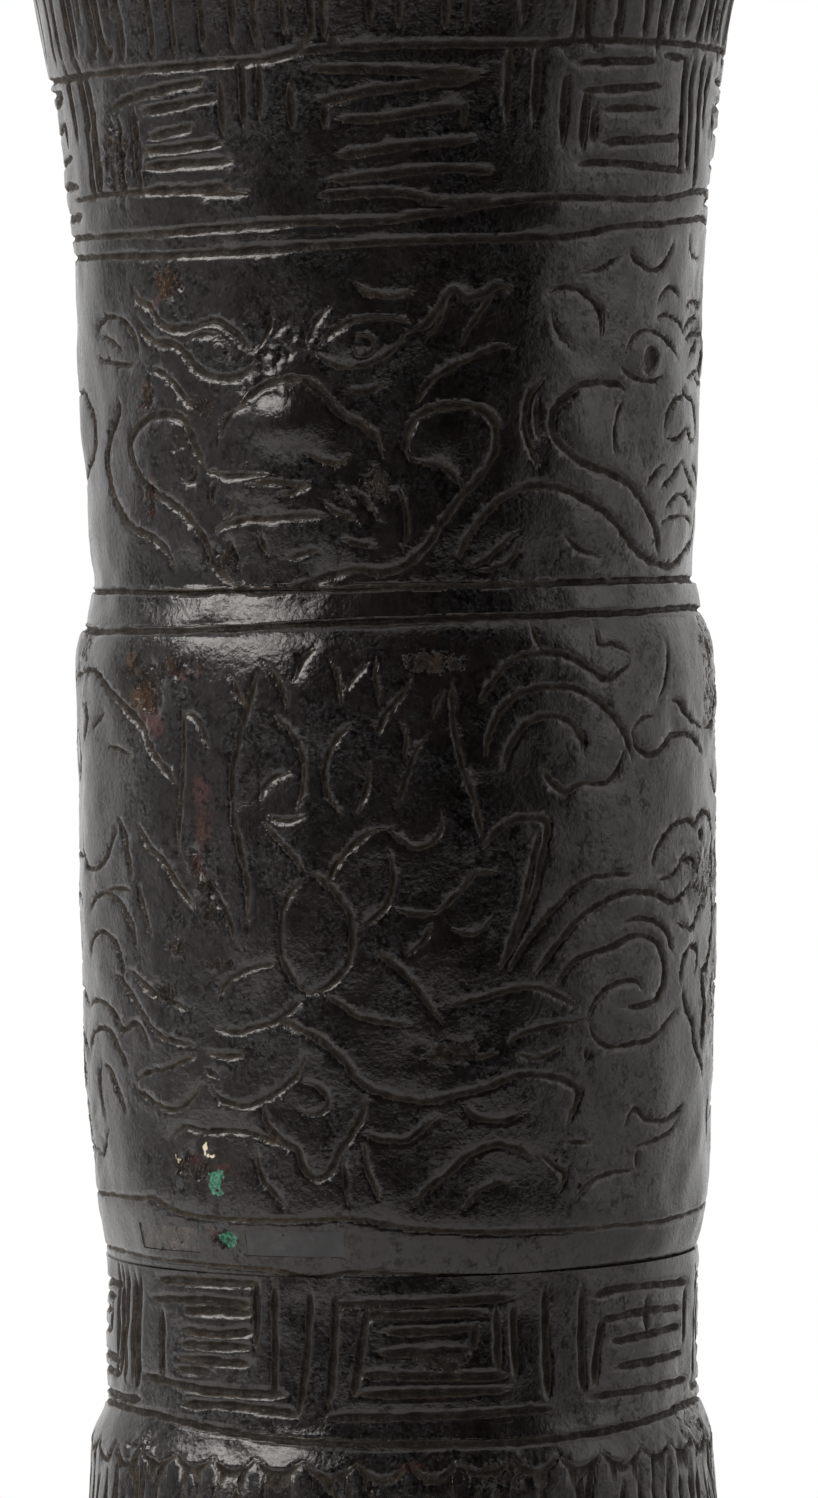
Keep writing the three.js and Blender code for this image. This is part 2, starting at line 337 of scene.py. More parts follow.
def placed(mesh, node, material):
    """Puts a finished piece in the scene, in metres and in place of its node."""
    mesh.transform(Matrix.Scale(MM, 4))
    mesh.polygons.foreach_set("use_smooth", np.ones(len(mesh.polygons), bool))
    mesh.materials.append(material)
    piece = shown(mesh.name, mesh)
    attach(piece, "root")
    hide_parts(node)


def chased(name, ring, board, low, high, node, material):
    """Carves a casting's skin between two levels, and puts it in the scene."""
    for reach in FINENESS:
        refine(ring, board, low, high, reach)
    bmesh.ops.triangulate(ring, faces=[f for f in ring.faces if len(f.verts) > 4])
    mesh = meshed(name, ring)
    co, normals = np.zeros((2, len(mesh.vertices), 3))
    mesh.vertices.foreach_get("co", co.ravel())
    mesh.vertex_normals.foreach_get("vector", normals.ravel())
    s, z, r = places(co)
    outside = np.clip((r - board.radius_at(z) + SKIN_DEPTH) / SKIN_BLEND, 0, 1) * ((z > low) & (z < high))
    ends = np.clip(np.minimum(z - board.heights[0], board.heights[-1] - z) / END_BLEND, 0, 1)
    slid_s, slid_z = board.slide(s, z)
    r = r + np.where(outside > 0, board.radius_at(slid_z) - board.radius_at(z), 0)
    s, z = np.where(outside > 0, slid_s, s), np.where(outside > 0, slid_z, z)

    def at(field):
        return board.sample(field, s, z)

    co = np.stack([r * np.sin(s / BOARD_RADIUS), -r * np.cos(s / BOARD_RADIUS), z], 1)
    tilt = (board.radius_at(z - SLOPE_STEP) - board.radius_at(z + SLOPE_STEP)) / (2 * SLOPE_STEP) * ends
    out = np.stack([co[:, 0] / r, co[:, 1] / r, tilt], 1) / np.sqrt(1 + tilt**2)[:, None]
    normals = np.where(outside[:, None] > 0, out, normals)
    carved = at(softened(board.cut))
    raised = at(softened(board.relief)) + np.where(carved < BURR_STOP, 0, at(board.burr))
    stained = {kind: at(board.stains[kind]) for kind in CORROSION}
    pits = at(sum(board.noise(wavelength, size) for wavelength, size in CRUST_GRAIN)) * stained["crust"]
    wavy = at(board.uneven) * np.clip(ends * END_HOLD, 0, 1) * (r > SOLID_RADIUS)
    shift = (carved + raised + CRUST_PITS * np.minimum(pits, PIT_TOP)) * outside + wavy
    co += normals * shift[:, None]
    mesh.vertices.foreach_set("co", co.ravel())
    marks = {"cut": np.clip(-carved / LINE_DEPTH, 0, 1) * outside}
    marks |= {kind: values * outside for kind, values in stained.items()}
    marks["inside"] = r < board.radius_at(np.clip(z, low, high)) - INSIDE_DEPTH
    for mark, values in marks.items():
        held = mesh.attributes.new(mark, "FLOAT", "POINT")
        held.data.foreach_set("value", values.astype(np.float32))
    mesh.update()
    placed(mesh, node, material)


# The finish shared by the castings: bronze turned brown-black over a fire and waxed. Pale brown dust lies in
# the lines, with dark floors that are partly dirt and partly painted shade; crust and red and green spots of
# corrosion break the skin, and the inside is dull. The lines, the crust and scattered patches are made partly
# metallic, so that they mirror little: dullness, and in the hollows painted shade too.
class Finish:
    """A material, or a shared effect, put together node by node."""

    def __init__(self, name=None, tree=None):
        self.tree = tree
        if not tree:
            self.material = bpy.data.materials.new(name)
            self.material.use_nodes = True
            self.tree = self.material.node_tree
            self.place = self.add("TexCoord").outputs["Object"]

    def feed(self, socket, value):
        if isinstance(value, bpy.types.NodeSocket):
            self.tree.links.new(value, socket)
        else:
            socket.default_value = value

    def add(self, kind, settings=(), **inputs):
        node = self.tree.nodes.new("ShaderNode" + kind)
        for key, value in dict(settings).items():
            setattr(node, key, value)
        for key, value in inputs.items():
            self.feed(node.inputs[key.replace("_", " ")], value)
        return node

    def mark(self, name):
        return self.add("Attribute", {"attribute_name": name}).outputs["Fac"]

    def noise(self, scale, detail, roughness=0.5):
        """A value that drifts from place to place, mostly between 0.3 and 0.7."""
        wave = self.add("TexNoise", Vector=self.place, Scale=scale, Detail=detail, Roughness=roughness)
        return wave.outputs["Fac"]

    def blend(self, amount, a, b):
        node = self.add("Mix", {"data_type": "RGBA"})
        for key, value in (("Factor_Float", amount), ("A_Color", a), ("B_Color", b)):
            self.feed(next(i for i in node.inputs if i.identifier == key), value)
        return next(o for o in node.outputs if o.identifier == "Result_Color")

    def span(self, value, low, high, start=0.0, stop=1.0):
        """Turns a value between start and stop into one between low and high."""
        node = self.add("MapRange", Value=value, From_Min=start, From_Max=stop, To_Min=low, To_Max=high)
        return node.outputs["Result"]

    def ramp(self, value, stops):
        """Turns a value into a grey that follows the stops, each a value and how light it is there."""
        node = self.add("ValToRGB", Fac=value)
        elements = node.color_ramp.elements
        while len(elements) < len(stops):
            elements.new(1.0)
        for element, (at, grey) in zip(elements, stops):
            element.position = at
            element.color = (grey, grey, grey, 1)
        return node.outputs["Color"]

    def combine(self, how, value, *others):
        """Puts values together by one operation, one after another."""
        for other in others:
            node = self.add("Math", {"operation": how})
            self.feed(node.inputs[0], value)
            self.feed(node.inputs[1], other)
            value = node.outputs[0]
        return value

    def times(self, *values):
        """The product of values, or where masks overlap."""
        return self.combine("MULTIPLY", *values)

    def bump(self, strength, distance, height):
        return self.add("Bump", Strength=strength, Distance=distance, Height=height).outputs["Normal"]

    def finish(self, **inputs):
        for key, value in inputs.items():
            self.feed(self.tree.nodes["Principled BSDF"].inputs[key.replace("_", " ")], value)
        return self.material


def shared_effect(name, inputs, output):
    """Starts a node group with named sockets, and gives it with its inputs and the socket of its output."""
    effect = Finish(tree=bpy.data.node_groups.new(name, "ShaderNodeTree"))
    for title, kind, value in inputs:
        socket = effect.tree.interface.new_socket(title, in_out="INPUT", socket_type="NodeSocket" + kind)
        if value is not None:
            socket.default_value = value
    effect.tree.interface.new_socket(output[0], in_out="OUTPUT", socket_type="NodeSocket" + output[1])
    given = effect.tree.nodes.new("NodeGroupInput").outputs
    effect.place = given["Vector"]
    return effect, given, effect.tree.nodes.new("NodeGroupOutput").inputs[0]


# Cloudy tone: a slow drift between two colours with a finer speckle in it.
cloudy_tone, given, made = shared_effect(
    "cloudy_tone",
    [("Vector", "Vector", None), ("Size", "Float", 120), ("Dark", "Color", None), ("Light", "Color", None)],
    ("Colour", "Color"),
)
FLECK_FINENESS = 14
drift = cloudy_tone.noise(given["Size"], 5, 0.6)
flecks = cloudy_tone.noise(cloudy_tone.times(given["Size"], FLECK_FINENESS), 3)
slow, fine = cloudy_tone.span(drift, 0, 0.6, 0.38, 0.7), cloudy_tone.span(flecks, 0, 0.4, 0.42, 0.7)
mottle = cloudy_tone.combine("ADD", slow, fine)
cloudy_tone.feed(made, cloudy_tone.blend(mottle, given["Dark"], given["Light"]))

# Cast grain: the orange-peel skin that a mould leaves, with scattered pinholes.
cast_grain, given, made = shared_effect(
    "cast_grain",
    [("Vector", "Vector", None), ("Size", "Float", 1800), ("Pinholes", "Float", 0.5)],
    ("Height", "Float"),
)
HOLE_SPACING = 0.42
peel = cast_grain.noise(given["Size"], 4, 0.55)
hole_scale = cast_grain.times(given["Size"], HOLE_SPACING)
holes = cast_grain.add("TexVoronoi", Vector=given["Vector"], Scale=hole_scale).outputs["Distance"]
sunk = cast_grain.times(cast_grain.span(holes, -1, 0, 0.02, 0.16), given["Pinholes"])
cast_grain.feed(made, cast_grain.combine("ADD", peel, sunk))


def cloudy(finish, size, dark, light):
    tree = {"node_tree": cloudy_tone.tree}
    return finish.add("Group", tree, Vector=finish.place, Size=size, Dark=dark, Light=light).outputs["Colour"]


def grained(finish, size, pinholes):
    tree = {"node_tree": cast_grain.tree}
    return finish.add("Group", tree, Vector=finish.place, Size=size, Pinholes=pinholes).outputs["Height"]


PATINA_DARK, PATINA_BROWN = (0.0014, 0.0010, 0.0009, 1), (0.0084, 0.0055, 0.0043, 1)
BLOOM, SHEEN = (0.0090, 0.0100, 0.0130, 1), (1.0, 0.95, 0.90, 1)
CRUST_DARK, CRUST_LIGHT = (0.0016, 0.0011, 0.0008, 1), (0.036, 0.0210, 0.0125, 1)
RUST, CUPRITE, PALE = (0.038, 0.0165, 0.0072, 1), (0.030, 0.0098, 0.0078, 1), (0.45, 0.39, 0.27, 1)
MALACHITE_DARK, MALACHITE = (0.010, 0.050, 0.032, 1), (0.040, 0.15, 0.09, 1)
DARK_DUST_AND_SHADE, DUST_LIGHT = (0.0060, 0.0038, 0.0023, 1), (0.056, 0.0385, 0.0245, 1)
INSIDE_DARK, INSIDE_LIGHT = (0.022, 0.018, 0.012, 1), (0.060, 0.056, 0.036, 1)

patina = Finish("waxed_dark_patina")
cut, inside = patina.mark("cut"), patina.mark("inside")
crust, cuprite, malachite, pale, rust = (patina.mark(kind) for kind in CORROSION)
ragged = patina.noise(scale=900, detail=5, roughness=0.65)
speckle = patina.noise(scale=2700, detail=3, roughness=0.6)
patchy = patina.noise(scale=190, detail=3, roughness=0.6)
torn = patina.combine("ADD", patina.span(ragged, 0, 0.6), patina.span(speckle, 0, 0.4))
crusted = patina.span(patina.combine("ADD", crust, patina.span(torn, 0, 1, 0.25, 0.75)), 0, 1, 1.34, 1.44)
spotted = patina.times(patina.span(torn, 1, 0, 0.42, 0.5), patina.span(patchy, 0.3, 1, 0.4, 0.6))
dusty = patina.times(patina.span(cut, 0, 1, 0.15, 0.5), patina.span(torn, 0.5, 1, 0.36, 0.56))
speckled = patina.times(patina.span(speckle, 0, 1, 0.43, 0.69), patina.span(patchy, 0.1, 0.8, 0.4, 0.62))
tone = cloudy(patina, 110, PATINA_DARK, PATINA_BROWN)
tone = patina.blend(speckled, tone, BLOOM)
tone = patina.blend(crusted, tone, cloudy(patina, 420, CRUST_DARK, CRUST_LIGHT))
leafy = patina.blend(patina.span(speckle, 0, 1, 0.4, 0.6), MALACHITE_DARK, MALACHITE)
for kind, tear, strongest, start, whole, colour in (
    (rust, torn, 0.8, 0.34, 0.5, RUST),
    (cuprite, torn, 0.75, 0.36, 0.5, CUPRITE),
    (malachite, torn, 1, 0.34, 0.38, leafy),
    (pale, ragged, 1, 0.34, 0.38, PALE),
):
    tone = patina.blend(patina.span(patina.times(kind, tear), 0, strongest, start, whole), tone, colour)
dust_and_shade = cloudy(patina, 500, DARK_DUST_AND_SHADE, DUST_LIGHT)
# Painted shade: where a line is deepest its dust turns dark brown. This darkens the line's floor for the dirt
# and wax there, and for the shade that falls in it.
dust_and_shade = patina.blend(patina.span(cut, 0, 0.85, 0.5, 0.9), dust_and_shade, DARK_DUST_AND_SHADE)
tone = patina.blend(dusty, tone, dust_and_shade)
tone = patina.blend(inside, tone, cloudy(patina, 160, INSIDE_DARK, INSIDE_LIGHT))
waxed = patina.combine("ADD", patina.span(ragged, 0.14, 0.22, 0.3, 0.7), patina.span(speckled, 0, 0.2))
dull = patina.times(crusted, patina.span(speckle, 0.8, 0.25, 0.56, 0.62))
rough = patina.combine("MAXIMUM", waxed, dull, patina.span(dusty, 0, 0.72), patina.span(inside, 0, 0.62))
lumps = patina.combine("ADD", patina.span(ragged, 0, 6), patina.span(speckle, 0, 3))
dirt = patina.times(dusty, patina.span(speckle, 0, 2.6))
skin = patina.combine("ADD", grained(patina, 1900, 0.12), patina.times(crusted, lumps), dirt)
# Painted shade: the lines, the crust and scattered patches are made partly metallic, so that with their dark
# colours they mirror little of the room. In the lines and the crust this stands for the shade in their hollows
# as well as their dull dirt; in the scattered patches it is dullness at random.
dull_and_shaded = patina.combine(
    "MAXIMUM", patina.span(dusty, 0, 0.7), patina.span(crusted, 0, 0.55), patina.span(spotted, 0, 0.6)
)
metallic = patina.times(dull_and_shaded, patina.span(speckle, 1, 0.4, 0.56, 0.62))
bump = patina.bump(0.75, 0.00008, skin)
bronze = patina.finish(Base_Color=tone, Roughness=rough, Metallic=metallic, Normal=bump, Specular_Tint=SHEEN)

# The band of squared scrolls, cut freehand with a broader punch. Three scrolls, each unlike the next, repeat
# to make the band's eight.
FRET_PITCH = TURN / 8
FRET_WIDTH, FRET_DEPTH = 0.46, 0.4
FRET_ORDER = [("left", 0), ("middle", 0), ("right", 0)]
FRET_ORDER += [("middle", 2), ("left", 4), ("middle", 4), ("right", 4), ("middle", 6)]
FOOT_SCROLLS = {
    "left": [
        [(-28.5, 100.3), (-15, 100.6)],
        [(-27.9, 97.6), (-27.9, 91.3)],
        [(-29.8, 98.4), (-22, 98.8), (-15.8, 98.6)],
        [(-24.5, 97.7), (-20, 97.9), (-15.6, 97.8)],
        [(-25, 96), (-20, 95.8), (-15.6, 96.2)],
        [(-25, 94.6), (-16, 94.8)],
        [(-25.5, 93.3), (-16, 93.2)],
        [(-25.6, 92.3), (-20.6, 92.2)],
        [(-31.5, 91.2), (-25, 90.8), (-20, 90.5), (-12, 90.6)],
        [(-25, 89), (-18, 89.3), (-10.6, 88.8)],
        [(-15.2, 100.8), (-15.2, 94.5)],
        [(-13.2, 100.5), (-13.3, 90.5)],
        [(-9.5, 100), (-9.8, 95), (-10.8, 88.7)],
    ],
    "middle": [
        [(-6.9, 99.8), (-7.2, 95), (-7.7, 89.5)],
        [(-3.8, 98.5), (-4.6, 94), (-5.2, 90.3)],
        [(-7, 98.8), (11, 99.2)],
        [(-4, 97.9), (8, 97.8)],
        [(-2, 96.3), (7, 96.5)],
        [(7, 97), (6.7, 94.6)],
        [(-2.6, 94.4), (6.6, 94.6)],
        [(-4.5, 92.5), (10, 92)],
        [(-5, 90.7), (10, 90.8)],
        [(-8, 88.5), (15, 88.8)],
        [(9.2, 98.5), (9.2, 92.5)],
        [(11, 98.5), (11, 92)],
        [(14.4, 99.8), (14.4, 90)],
    ],
    "right": [
        [(18.5, 99.5), (18.5, 90)],
        [(21.2, 96.5), (20.3, 93), (20, 90.5)],
        [(20, 98.8), (25, 99.2), (37, 98.7)],
        [(21, 96.5), (28, 96.8), (35, 96.5)],
        [(22.5, 94.4), (35, 94.8)],
        [(23, 92), (36, 92.2)],
        [(19, 89.6), (37.5, 89.6)],
        [(27.8, 98), (27.8, 95)],
        [(36.2, 98), (36, 93)],
    ],
}


def fret(board, scrolls):
    """Cuts a band of scrolls round a board."""
    for kind, pitches in FRET_ORDER:
        for stroke in scrolls[kind]:
            (s0, z0), (s1, z1) = stroke[0], stroke[-1]
            run = "level" if abs(s1 - s0) > abs(z1 - z0) else "upright"
            board.line(stroke, FRET_WIDTH, FRET_DEPTH, run, shift=pitches * FRET_PITCH)


def border(board, points, width=0.4, depth=0.36):
    """Chases a line right round the vase, through the heights noted at the front and level at the back."""
    level = np.mean([z for _, z in points])
    back = [(s, level) for s in np.arange(55, TURN - 54, 20)]
    path = points + back + [(points[0][0] + TURN, points[0][1])]
    board.line(path, width, depth, "level", closed=True, seed=round(level))


def hoops(board, heights, points):
    """Chases plain level lines right round the vase, each in so many short reaches."""
    for z in heights:
        board.line([(s, z) for s in np.linspace(0, TURN, points)], width=0.55, run="level", closed=True)


foot_board = Board(foot_base, foot_top, foot_radius, seed=5)
fret(foot_board, FOOT_SCROLLS)
FOOT_BORDER = [(-38, 87.8), (-28, 87.7), (-20, 87), (-10, 86.3), (0, 86.2), (10, 86), (20, 86.3)]
FOOT_BORDER += [(30, 86.9), (38, 87.3)]
border(foot_board, FOOT_BORDER)
for pitches in (0, 4):
    for s, lean in ((-37.5, -0.4), (-36.2, -0.5), (-34.8, -0.5), (-33.2, -0.5), (-31.9, -0.4)):
        foot_board.line([(s, 100.6), (s + lean, 90.6)], width=0.36, run="upright", shift=pitches * FRET_PITCH)

# Below the band hang scallops, one touch of the punch after another, and eight hatched leaves. A leaf is
# measured round the vase as the board is.
SCALLOPS, SCALLOP_LEVEL, SCALLOP_DIP, SCALLOP_ROUND = 38, 84.7, 1.5, 0.45
SCALLOP_STRAY, SCALLOP_SIDE = 0.25, 0.22
LEAVES, LEAF_HALF, LEAF_MIDDLE, LEAF_BORDER = 8, 11.3, -17.9, 1.5
LEAF_PITCH, LEAF_SHARPNESS, LEAF_ROOT_INSET = TURN / LEAVES, 1.7, 1.6
LEAF_WIDTH, LEAF_INNER_WIDTH = 0.42, 0.36
HATCH_GAP, HATCH_LENGTH, HATCH_LIFT, HATCH_SWAY, HATCH_WIDTH = 0.4, 24, 0.8, 0.25, (0.34, 0.52)


def leaf_half(share):
    """Half a leaf's width, from its root at 0 to its tip at 1."""
    return LEAF_HALF * (1 - share**LEAF_SHARPNESS)


def leaves(board, root, tip, hatching):
    """Draws leaves from root to tip, each with a double edge, and fills them with the hatching noted."""
    rise = tip - root
    outer, inner = np.linspace(0.03, 1, 9), np.linspace(0.05, 0.9, 8)
    for middle in (LEAF_MIDDLE + i * LEAF_PITCH for i in range(LEAVES)):
        for side in (-1, 1):
            edge = [(middle + side * (LEAF_HALF - LEAF_ROOT_INSET), root)]
            edge += [(middle + side * leaf_half(t), root + rise * t) for t in outer]
            board.line(edge, width=LEAF_WIDTH, run="upright")
            edge = [(middle + side * max(leaf_half(t) - LEAF_BORDER, 0), root + rise * t) for t in inner]
            board.line(edge, width=LEAF_INNER_WIDTH, run="upright")
    for s, start in hatching:
        off = abs((s - LEAF_MIDDLE + LEAF_PITCH / 2) % LEAF_PITCH - LEAF_PITCH / 2)
        share = max(1 - (off + LEAF_BORDER + HATCH_GAP) / LEAF_HALF, 0.001) ** (1 / LEAF_SHARPNESS)
        stop = root + rise * share
        joins = np.linspace(start, stop, round(abs(stop - start) / HATCH_LENGTH + 0.3) + 1)
        for z0, z1 in zip(joins, joins[1:]):
            sway, width = board.chance.uniform(-HATCH_SWAY, HATCH_SWAY), board.chance.uniform(*HATCH_WIDTH)
            end = (s + sway, z1 - math.copysign(HATCH_LIFT, rise))
            board.line([(s, z0), end], width=width, run="upright")


cusps = np.arange(SCALLOPS + 1) * TURN / SCALLOPS
cusps[1:-1] += foot_board.chance.uniform(-SCALLOP_STRAY, SCALLOP_STRAY, SCALLOPS - 1)
for s0, s1 in zip(cusps, cusps[1:]):
    low = SCALLOP_LEVEL - SCALLOP_DIP - foot_board.chance.uniform(-0.2, 0.3)
    side = (s1 - s0) * SCALLOP_SIDE
    bow = [(s0, SCALLOP_LEVEL), (s0 + side, low + SCALLOP_ROUND), ((s0 + s1) / 2, low)]
    bow += [(s1 - side, low + SCALLOP_ROUND), (s1, SCALLOP_LEVEL)]
    foot_board.line(bow, width=0.38)
FOOT_HATCH = [-36, -33.5, -31.2, -29, -27, -23.2, -21, -19, -16.7, -13.7, -11, -8.4, -5.7, -3.3, -1.2, 1.8]
FOOT_HATCH += [4.2, 6.5, 8.4, 10, 12.8, 15.6, 19, 22, 24.4, 26.5, 28.8, 31, 33.3, 35, 37.5, 40, 42.6, 45]
FOOT_HATCH += [47.6, 50.2, 52.8, 55.4]
LEAF_ROOT, LEAF_TIP, HATCH_START = 83, 20, 82.3
foot_hatch = [
    (s + half, HATCH_START - 0.9 * foot_board.chance.rand()) for half in (0, TURN / 2) for s in FOOT_HATCH
]
leaves(foot_board, LEAF_ROOT, LEAF_TIP, foot_hatch)
hoops(foot_board, (14.6, 12.4), 16)
foot_board.swell([(-45, 78, 12, 14, 0.3), (45, 78, 12, 14, -0.25)])
foot_board.swell([(-16.5, 76.4, 5.5, 3.6, 0.75), (-18, 84.3, 9, 1.7, -0.37), (-33, 77, 5, 3.6, 0.4)])
foot_board.corrode([(-30, 84.5, 2.4, 1.4)], 0.8)
foot_board.corrode([(4, 93.4, 3, 1.4)], 0.95)
foot_board.corrode([(9, 83, 4, 1.6)], 0.9)
foot_board.stain("cuprite", [(3, 90, 2, 0.5)], 0.8)
foot_board.stain("cuprite", [(1, 84, 3, 0.8)], 0.78)
foot_board.age(34, 6, 98, smallest=(2, 1.5), largest=(7, 5))

FLARE_ROW, BAND_ROW, HOLLOW_ROW = 1.25, 0.8, 3.0  # how far apart the rings of points lie
RIM_ROW, RIM_SHOULDER = 1.2, 0.6
rim_inside = RIM_RADIUS - RIM_WALL
foot_outline = [(rim_inside, foot_base), (RIM_RADIUS - RIM_EDGE, foot_base)]
foot_outline += [(RIM_RADIUS, foot_base + RIM_EDGE)]
foot_outline += [(RIM_RADIUS, z) for z in np.arange(1.6, RIM_HEIGHT - 0.9, RIM_ROW)]
foot_outline += [(RIM_RADIUS, RIM_HEIGHT - RIM_SHOULDER), (RIM_RADIUS - RIM_SHOULDER, RIM_HEIGHT)]
foot_outline += [(FLARE_RADIUS + 0.2, RIM_HEIGHT)]
flare_rows = np.arange(RIM_HEIGHT + 0.9, SHOULDER - 1, FLARE_ROW)
band_rows = np.arange(SHOULDER - 0.3, foot_top - 0.5, BAND_ROW)
foot_outline += [(float(foot_radius(z)), z) for z in (*flare_rows, *band_rows)]
foot_outline += [(WAIST_RADIUS, foot_top), (SPIGOT_RADIUS, foot_top)]
foot_outline += [(r, foot_top + SPIGOT_LENGTH) for r in (SPIGOT_RADIUS, SPIGOT_BORE)]
foot_outline += [(SPIGOT_BORE, foot_top - SPIGOT_BLEND)]
hollow_rows = np.arange(SHOULDER - 2, RIM_HEIGHT + 1, -HOLLOW_ROW)
foot_outline += [(float(foot_radius(z)) - FOOT_WALL - 0.3, z) for z in hollow_rows]
foot_outline += [(rim_inside, RIM_HEIGHT / 2)]
SKIN_PAST = 0.1  # the skin is carved to this far past its upper edge
chased("foot", spun(foot_outline), foot_board, foot_base + 0.6, foot_top + SKIN_PAST, "foot_casting", bronze)

# The floor disc: a round of sheet bronze, hammered flat, that lies on the end of the foot's spigot and closes
# the vessel, so that water stays out of the hollow foot.
disc_low, disc_high = levels("floor_disc")
DISC_RADIUS, DISC_EDGE, DISC_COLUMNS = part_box("floor_disc")[1].x / MM, 0.25, 96
DISC_DARK, DISC_LIGHT, DISC_GREEN = (0.040, 0.026, 0.017, 1), (0.105, 0.070, 0.042, 1), (0.07, 0.14, 0.10, 1)
HAMMER_MARKS, MARK_HALF, MARK_DEPTH, MARK_MARGIN = 90, 1.9, 0.16, 3

disc_rings = [DISC_RADIUS * share for share in np.linspace(0, 0.95, 20)]
disc_outline = [(r, disc_low) for r in disc_rings]
disc_outline += [(DISC_RADIUS - DISC_EDGE, disc_low), (DISC_RADIUS, disc_low + DISC_EDGE)]
disc_outline += [(DISC_RADIUS, disc_high - DISC_EDGE), (DISC_RADIUS - DISC_EDGE, disc_high)]
disc_outline += [(r, disc_high) for r in disc_rings[::-1]]
disc_ring = spun(disc_outline, DISC_COLUMNS, closed=False)
hammer = np.random.RandomState(8)
marks_at = hammer.uniform(-1, 1, (HAMMER_MARKS, 2)) * (DISC_RADIUS - MARK_MARGIN)
for v in disc_ring.verts:
    away = np.hypot(v.co.x - marks_at[:, 0], v.co.y - marks_at[:, 1])
    dent = MARK_DEPTH * np.exp(-((away / MARK_HALF) ** 2)).max() if v.co.xy.length < DISC_RADIUS - 1 else 0
    v.co.z += dent if v.co.z < disc_low + 0.01 else -dent if v.co.z > disc_high - 0.01 else 0

sheet = Finish("hammered_sheet_bronze")
wet_marks = sheet.noise(scale=260, detail=4)
tarnish = cloudy(sheet, 190, DISC_DARK, DISC_LIGHT)
tarnish = sheet.blend(sheet.span(wet_marks, 0, 0.7, 0.58, 0.72), tarnish, DISC_GREEN)
sheet_bump = sheet.bump(0.5, 0.00005, grained(sheet, 1500, 0.3))
sheet_rough = sheet.span(wet_marks, 0.42, 0.75)
sheet.finish(Base_Color=tarnish, Roughness=sheet_rough, Normal=sheet_bump, Metallic=0.35)
placed(meshed("floor_sheet", disc_ring), "floor_disc", sheet.material)

# The floor solder: a grey fillet run hot into the corner between the disc and the knop's wall. The iron left
# it lumpy, and it seals the vessel.
SOLDER_DARK, SOLDER_LIGHT = (0.075, 0.075, 0.074, 1), (0.23, 0.225, 0.215, 1)
SOLDER_COLUMNS, SOLDER_LUMPS, SOLDER_FULLNESS, LUMP_SIZE, SOLDER_HOLLOW = 180, 40, 0.86, 0.06, 1.6
solder = Finish("dull_tin_solder")
solder_lumps = solder.bump(0.6, 0.0001, grained(solder, 900, 0.6))
solder_rough = solder.span(grained(solder, 700, 0), 0.38, 0.62)
solder_tone = cloudy(solder, 300, SOLDER_DARK, SOLDER_LIGHT)
solder.finish(Base_Color=solder_tone, Roughness=solder_rough, Normal=solder_lumps, Metallic=0.6)


def fillet(name, node, wall_up, seed):
    """A ring of solder in a corner, with its flat side level with the box's bottom, or its top, and lumpy."""
    low, high = levels(node)
    outer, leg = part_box(node)[1].x / MM, high - low
    base, up = (low, 1) if wall_up else (high, -1)
    shares = np.linspace(0, 1, 8)
    curve = [(outer - leg * (1 - t) ** SOLDER_HOLLOW, base + up * leg * t**SOLDER_HOLLOW) for t in shares]
    ring = spun([(outer, base), *curve], SOLDER_COLUMNS)
    lumps = np.random.RandomState(seed).normal(0, 1, SOLDER_LUMPS)
    for v in ring.verts:
        turn = math.atan2(v.co.y, v.co.x) / (2 * math.pi) * SOLDER_LUMPS % SOLDER_LUMPS
        lump = np.interp(turn, range(SOLDER_LUMPS + 1), [*lumps, lumps[0]])
        corner = Vector((v.co.x, v.co.y, 0)).normalized() * outer
        corner.z = base
        v.co = corner + (v.co - corner) * (SOLDER_FULLNESS + LUMP_SIZE * max(min(lump, 2), -2))
    placed(meshed(name, ring), node, solder.material)


fillet("lower_solder_fillet", "floor_solder", wall_up=True, seed=21)

# The knop: the swelling barrel between foot and neck, cast as a ring with a socket at each end. Round it is
# chased a pond: rocks, reeds, lotus, a crane, clouds and breaking waves, between a plain strip above and one
# below.
knop_base, knop_top = levels("knop_casting")
KNOP_RADIUS, KNOP_TOP_DRAW, KNOP_BOTTOM_DRAW = 30.08, 1.15, 1.34
KNOP_TOP_POWER, KNOP_BOTTOM_POWER = 10, 1.55
KNOP_UNDERCUT, UNDERCUT_HEIGHT, UNDERCUT_POWER = 1.0, 6, 1.5
KNOP_WIDEST_SHARE = 0.69
KNOP_WIDEST = knop_base + KNOP_WIDEST_SHARE * (knop_top - knop_base)
KNOP_WALL, JOINT_GAP = 3, 0.3
SOCKET_RADIUS, TOP_SOCKET, BOTTOM_SOCKET, SOCKET_BLEND = SPIGOT_RADIUS + JOINT_GAP, 11, 13.5, 3


def knop_radius(z):
    above = np.clip((z - KNOP_WIDEST) / (knop_top - KNOP_WIDEST), 0, 1) ** KNOP_TOP_POWER
    below = np.clip((KNOP_WIDEST - z) / (KNOP_WIDEST - knop_base), 0, 1) ** KNOP_BOTTOM_POWER
    under = np.clip((knop_base + UNDERCUT_HEIGHT - z) / UNDERCUT_HEIGHT, 0, 1) ** UNDERCUT_POWER
    return KNOP_RADIUS - KNOP_TOP_DRAW * above - KNOP_BOTTOM_DRAW * below - KNOP_UNDERCUT * under


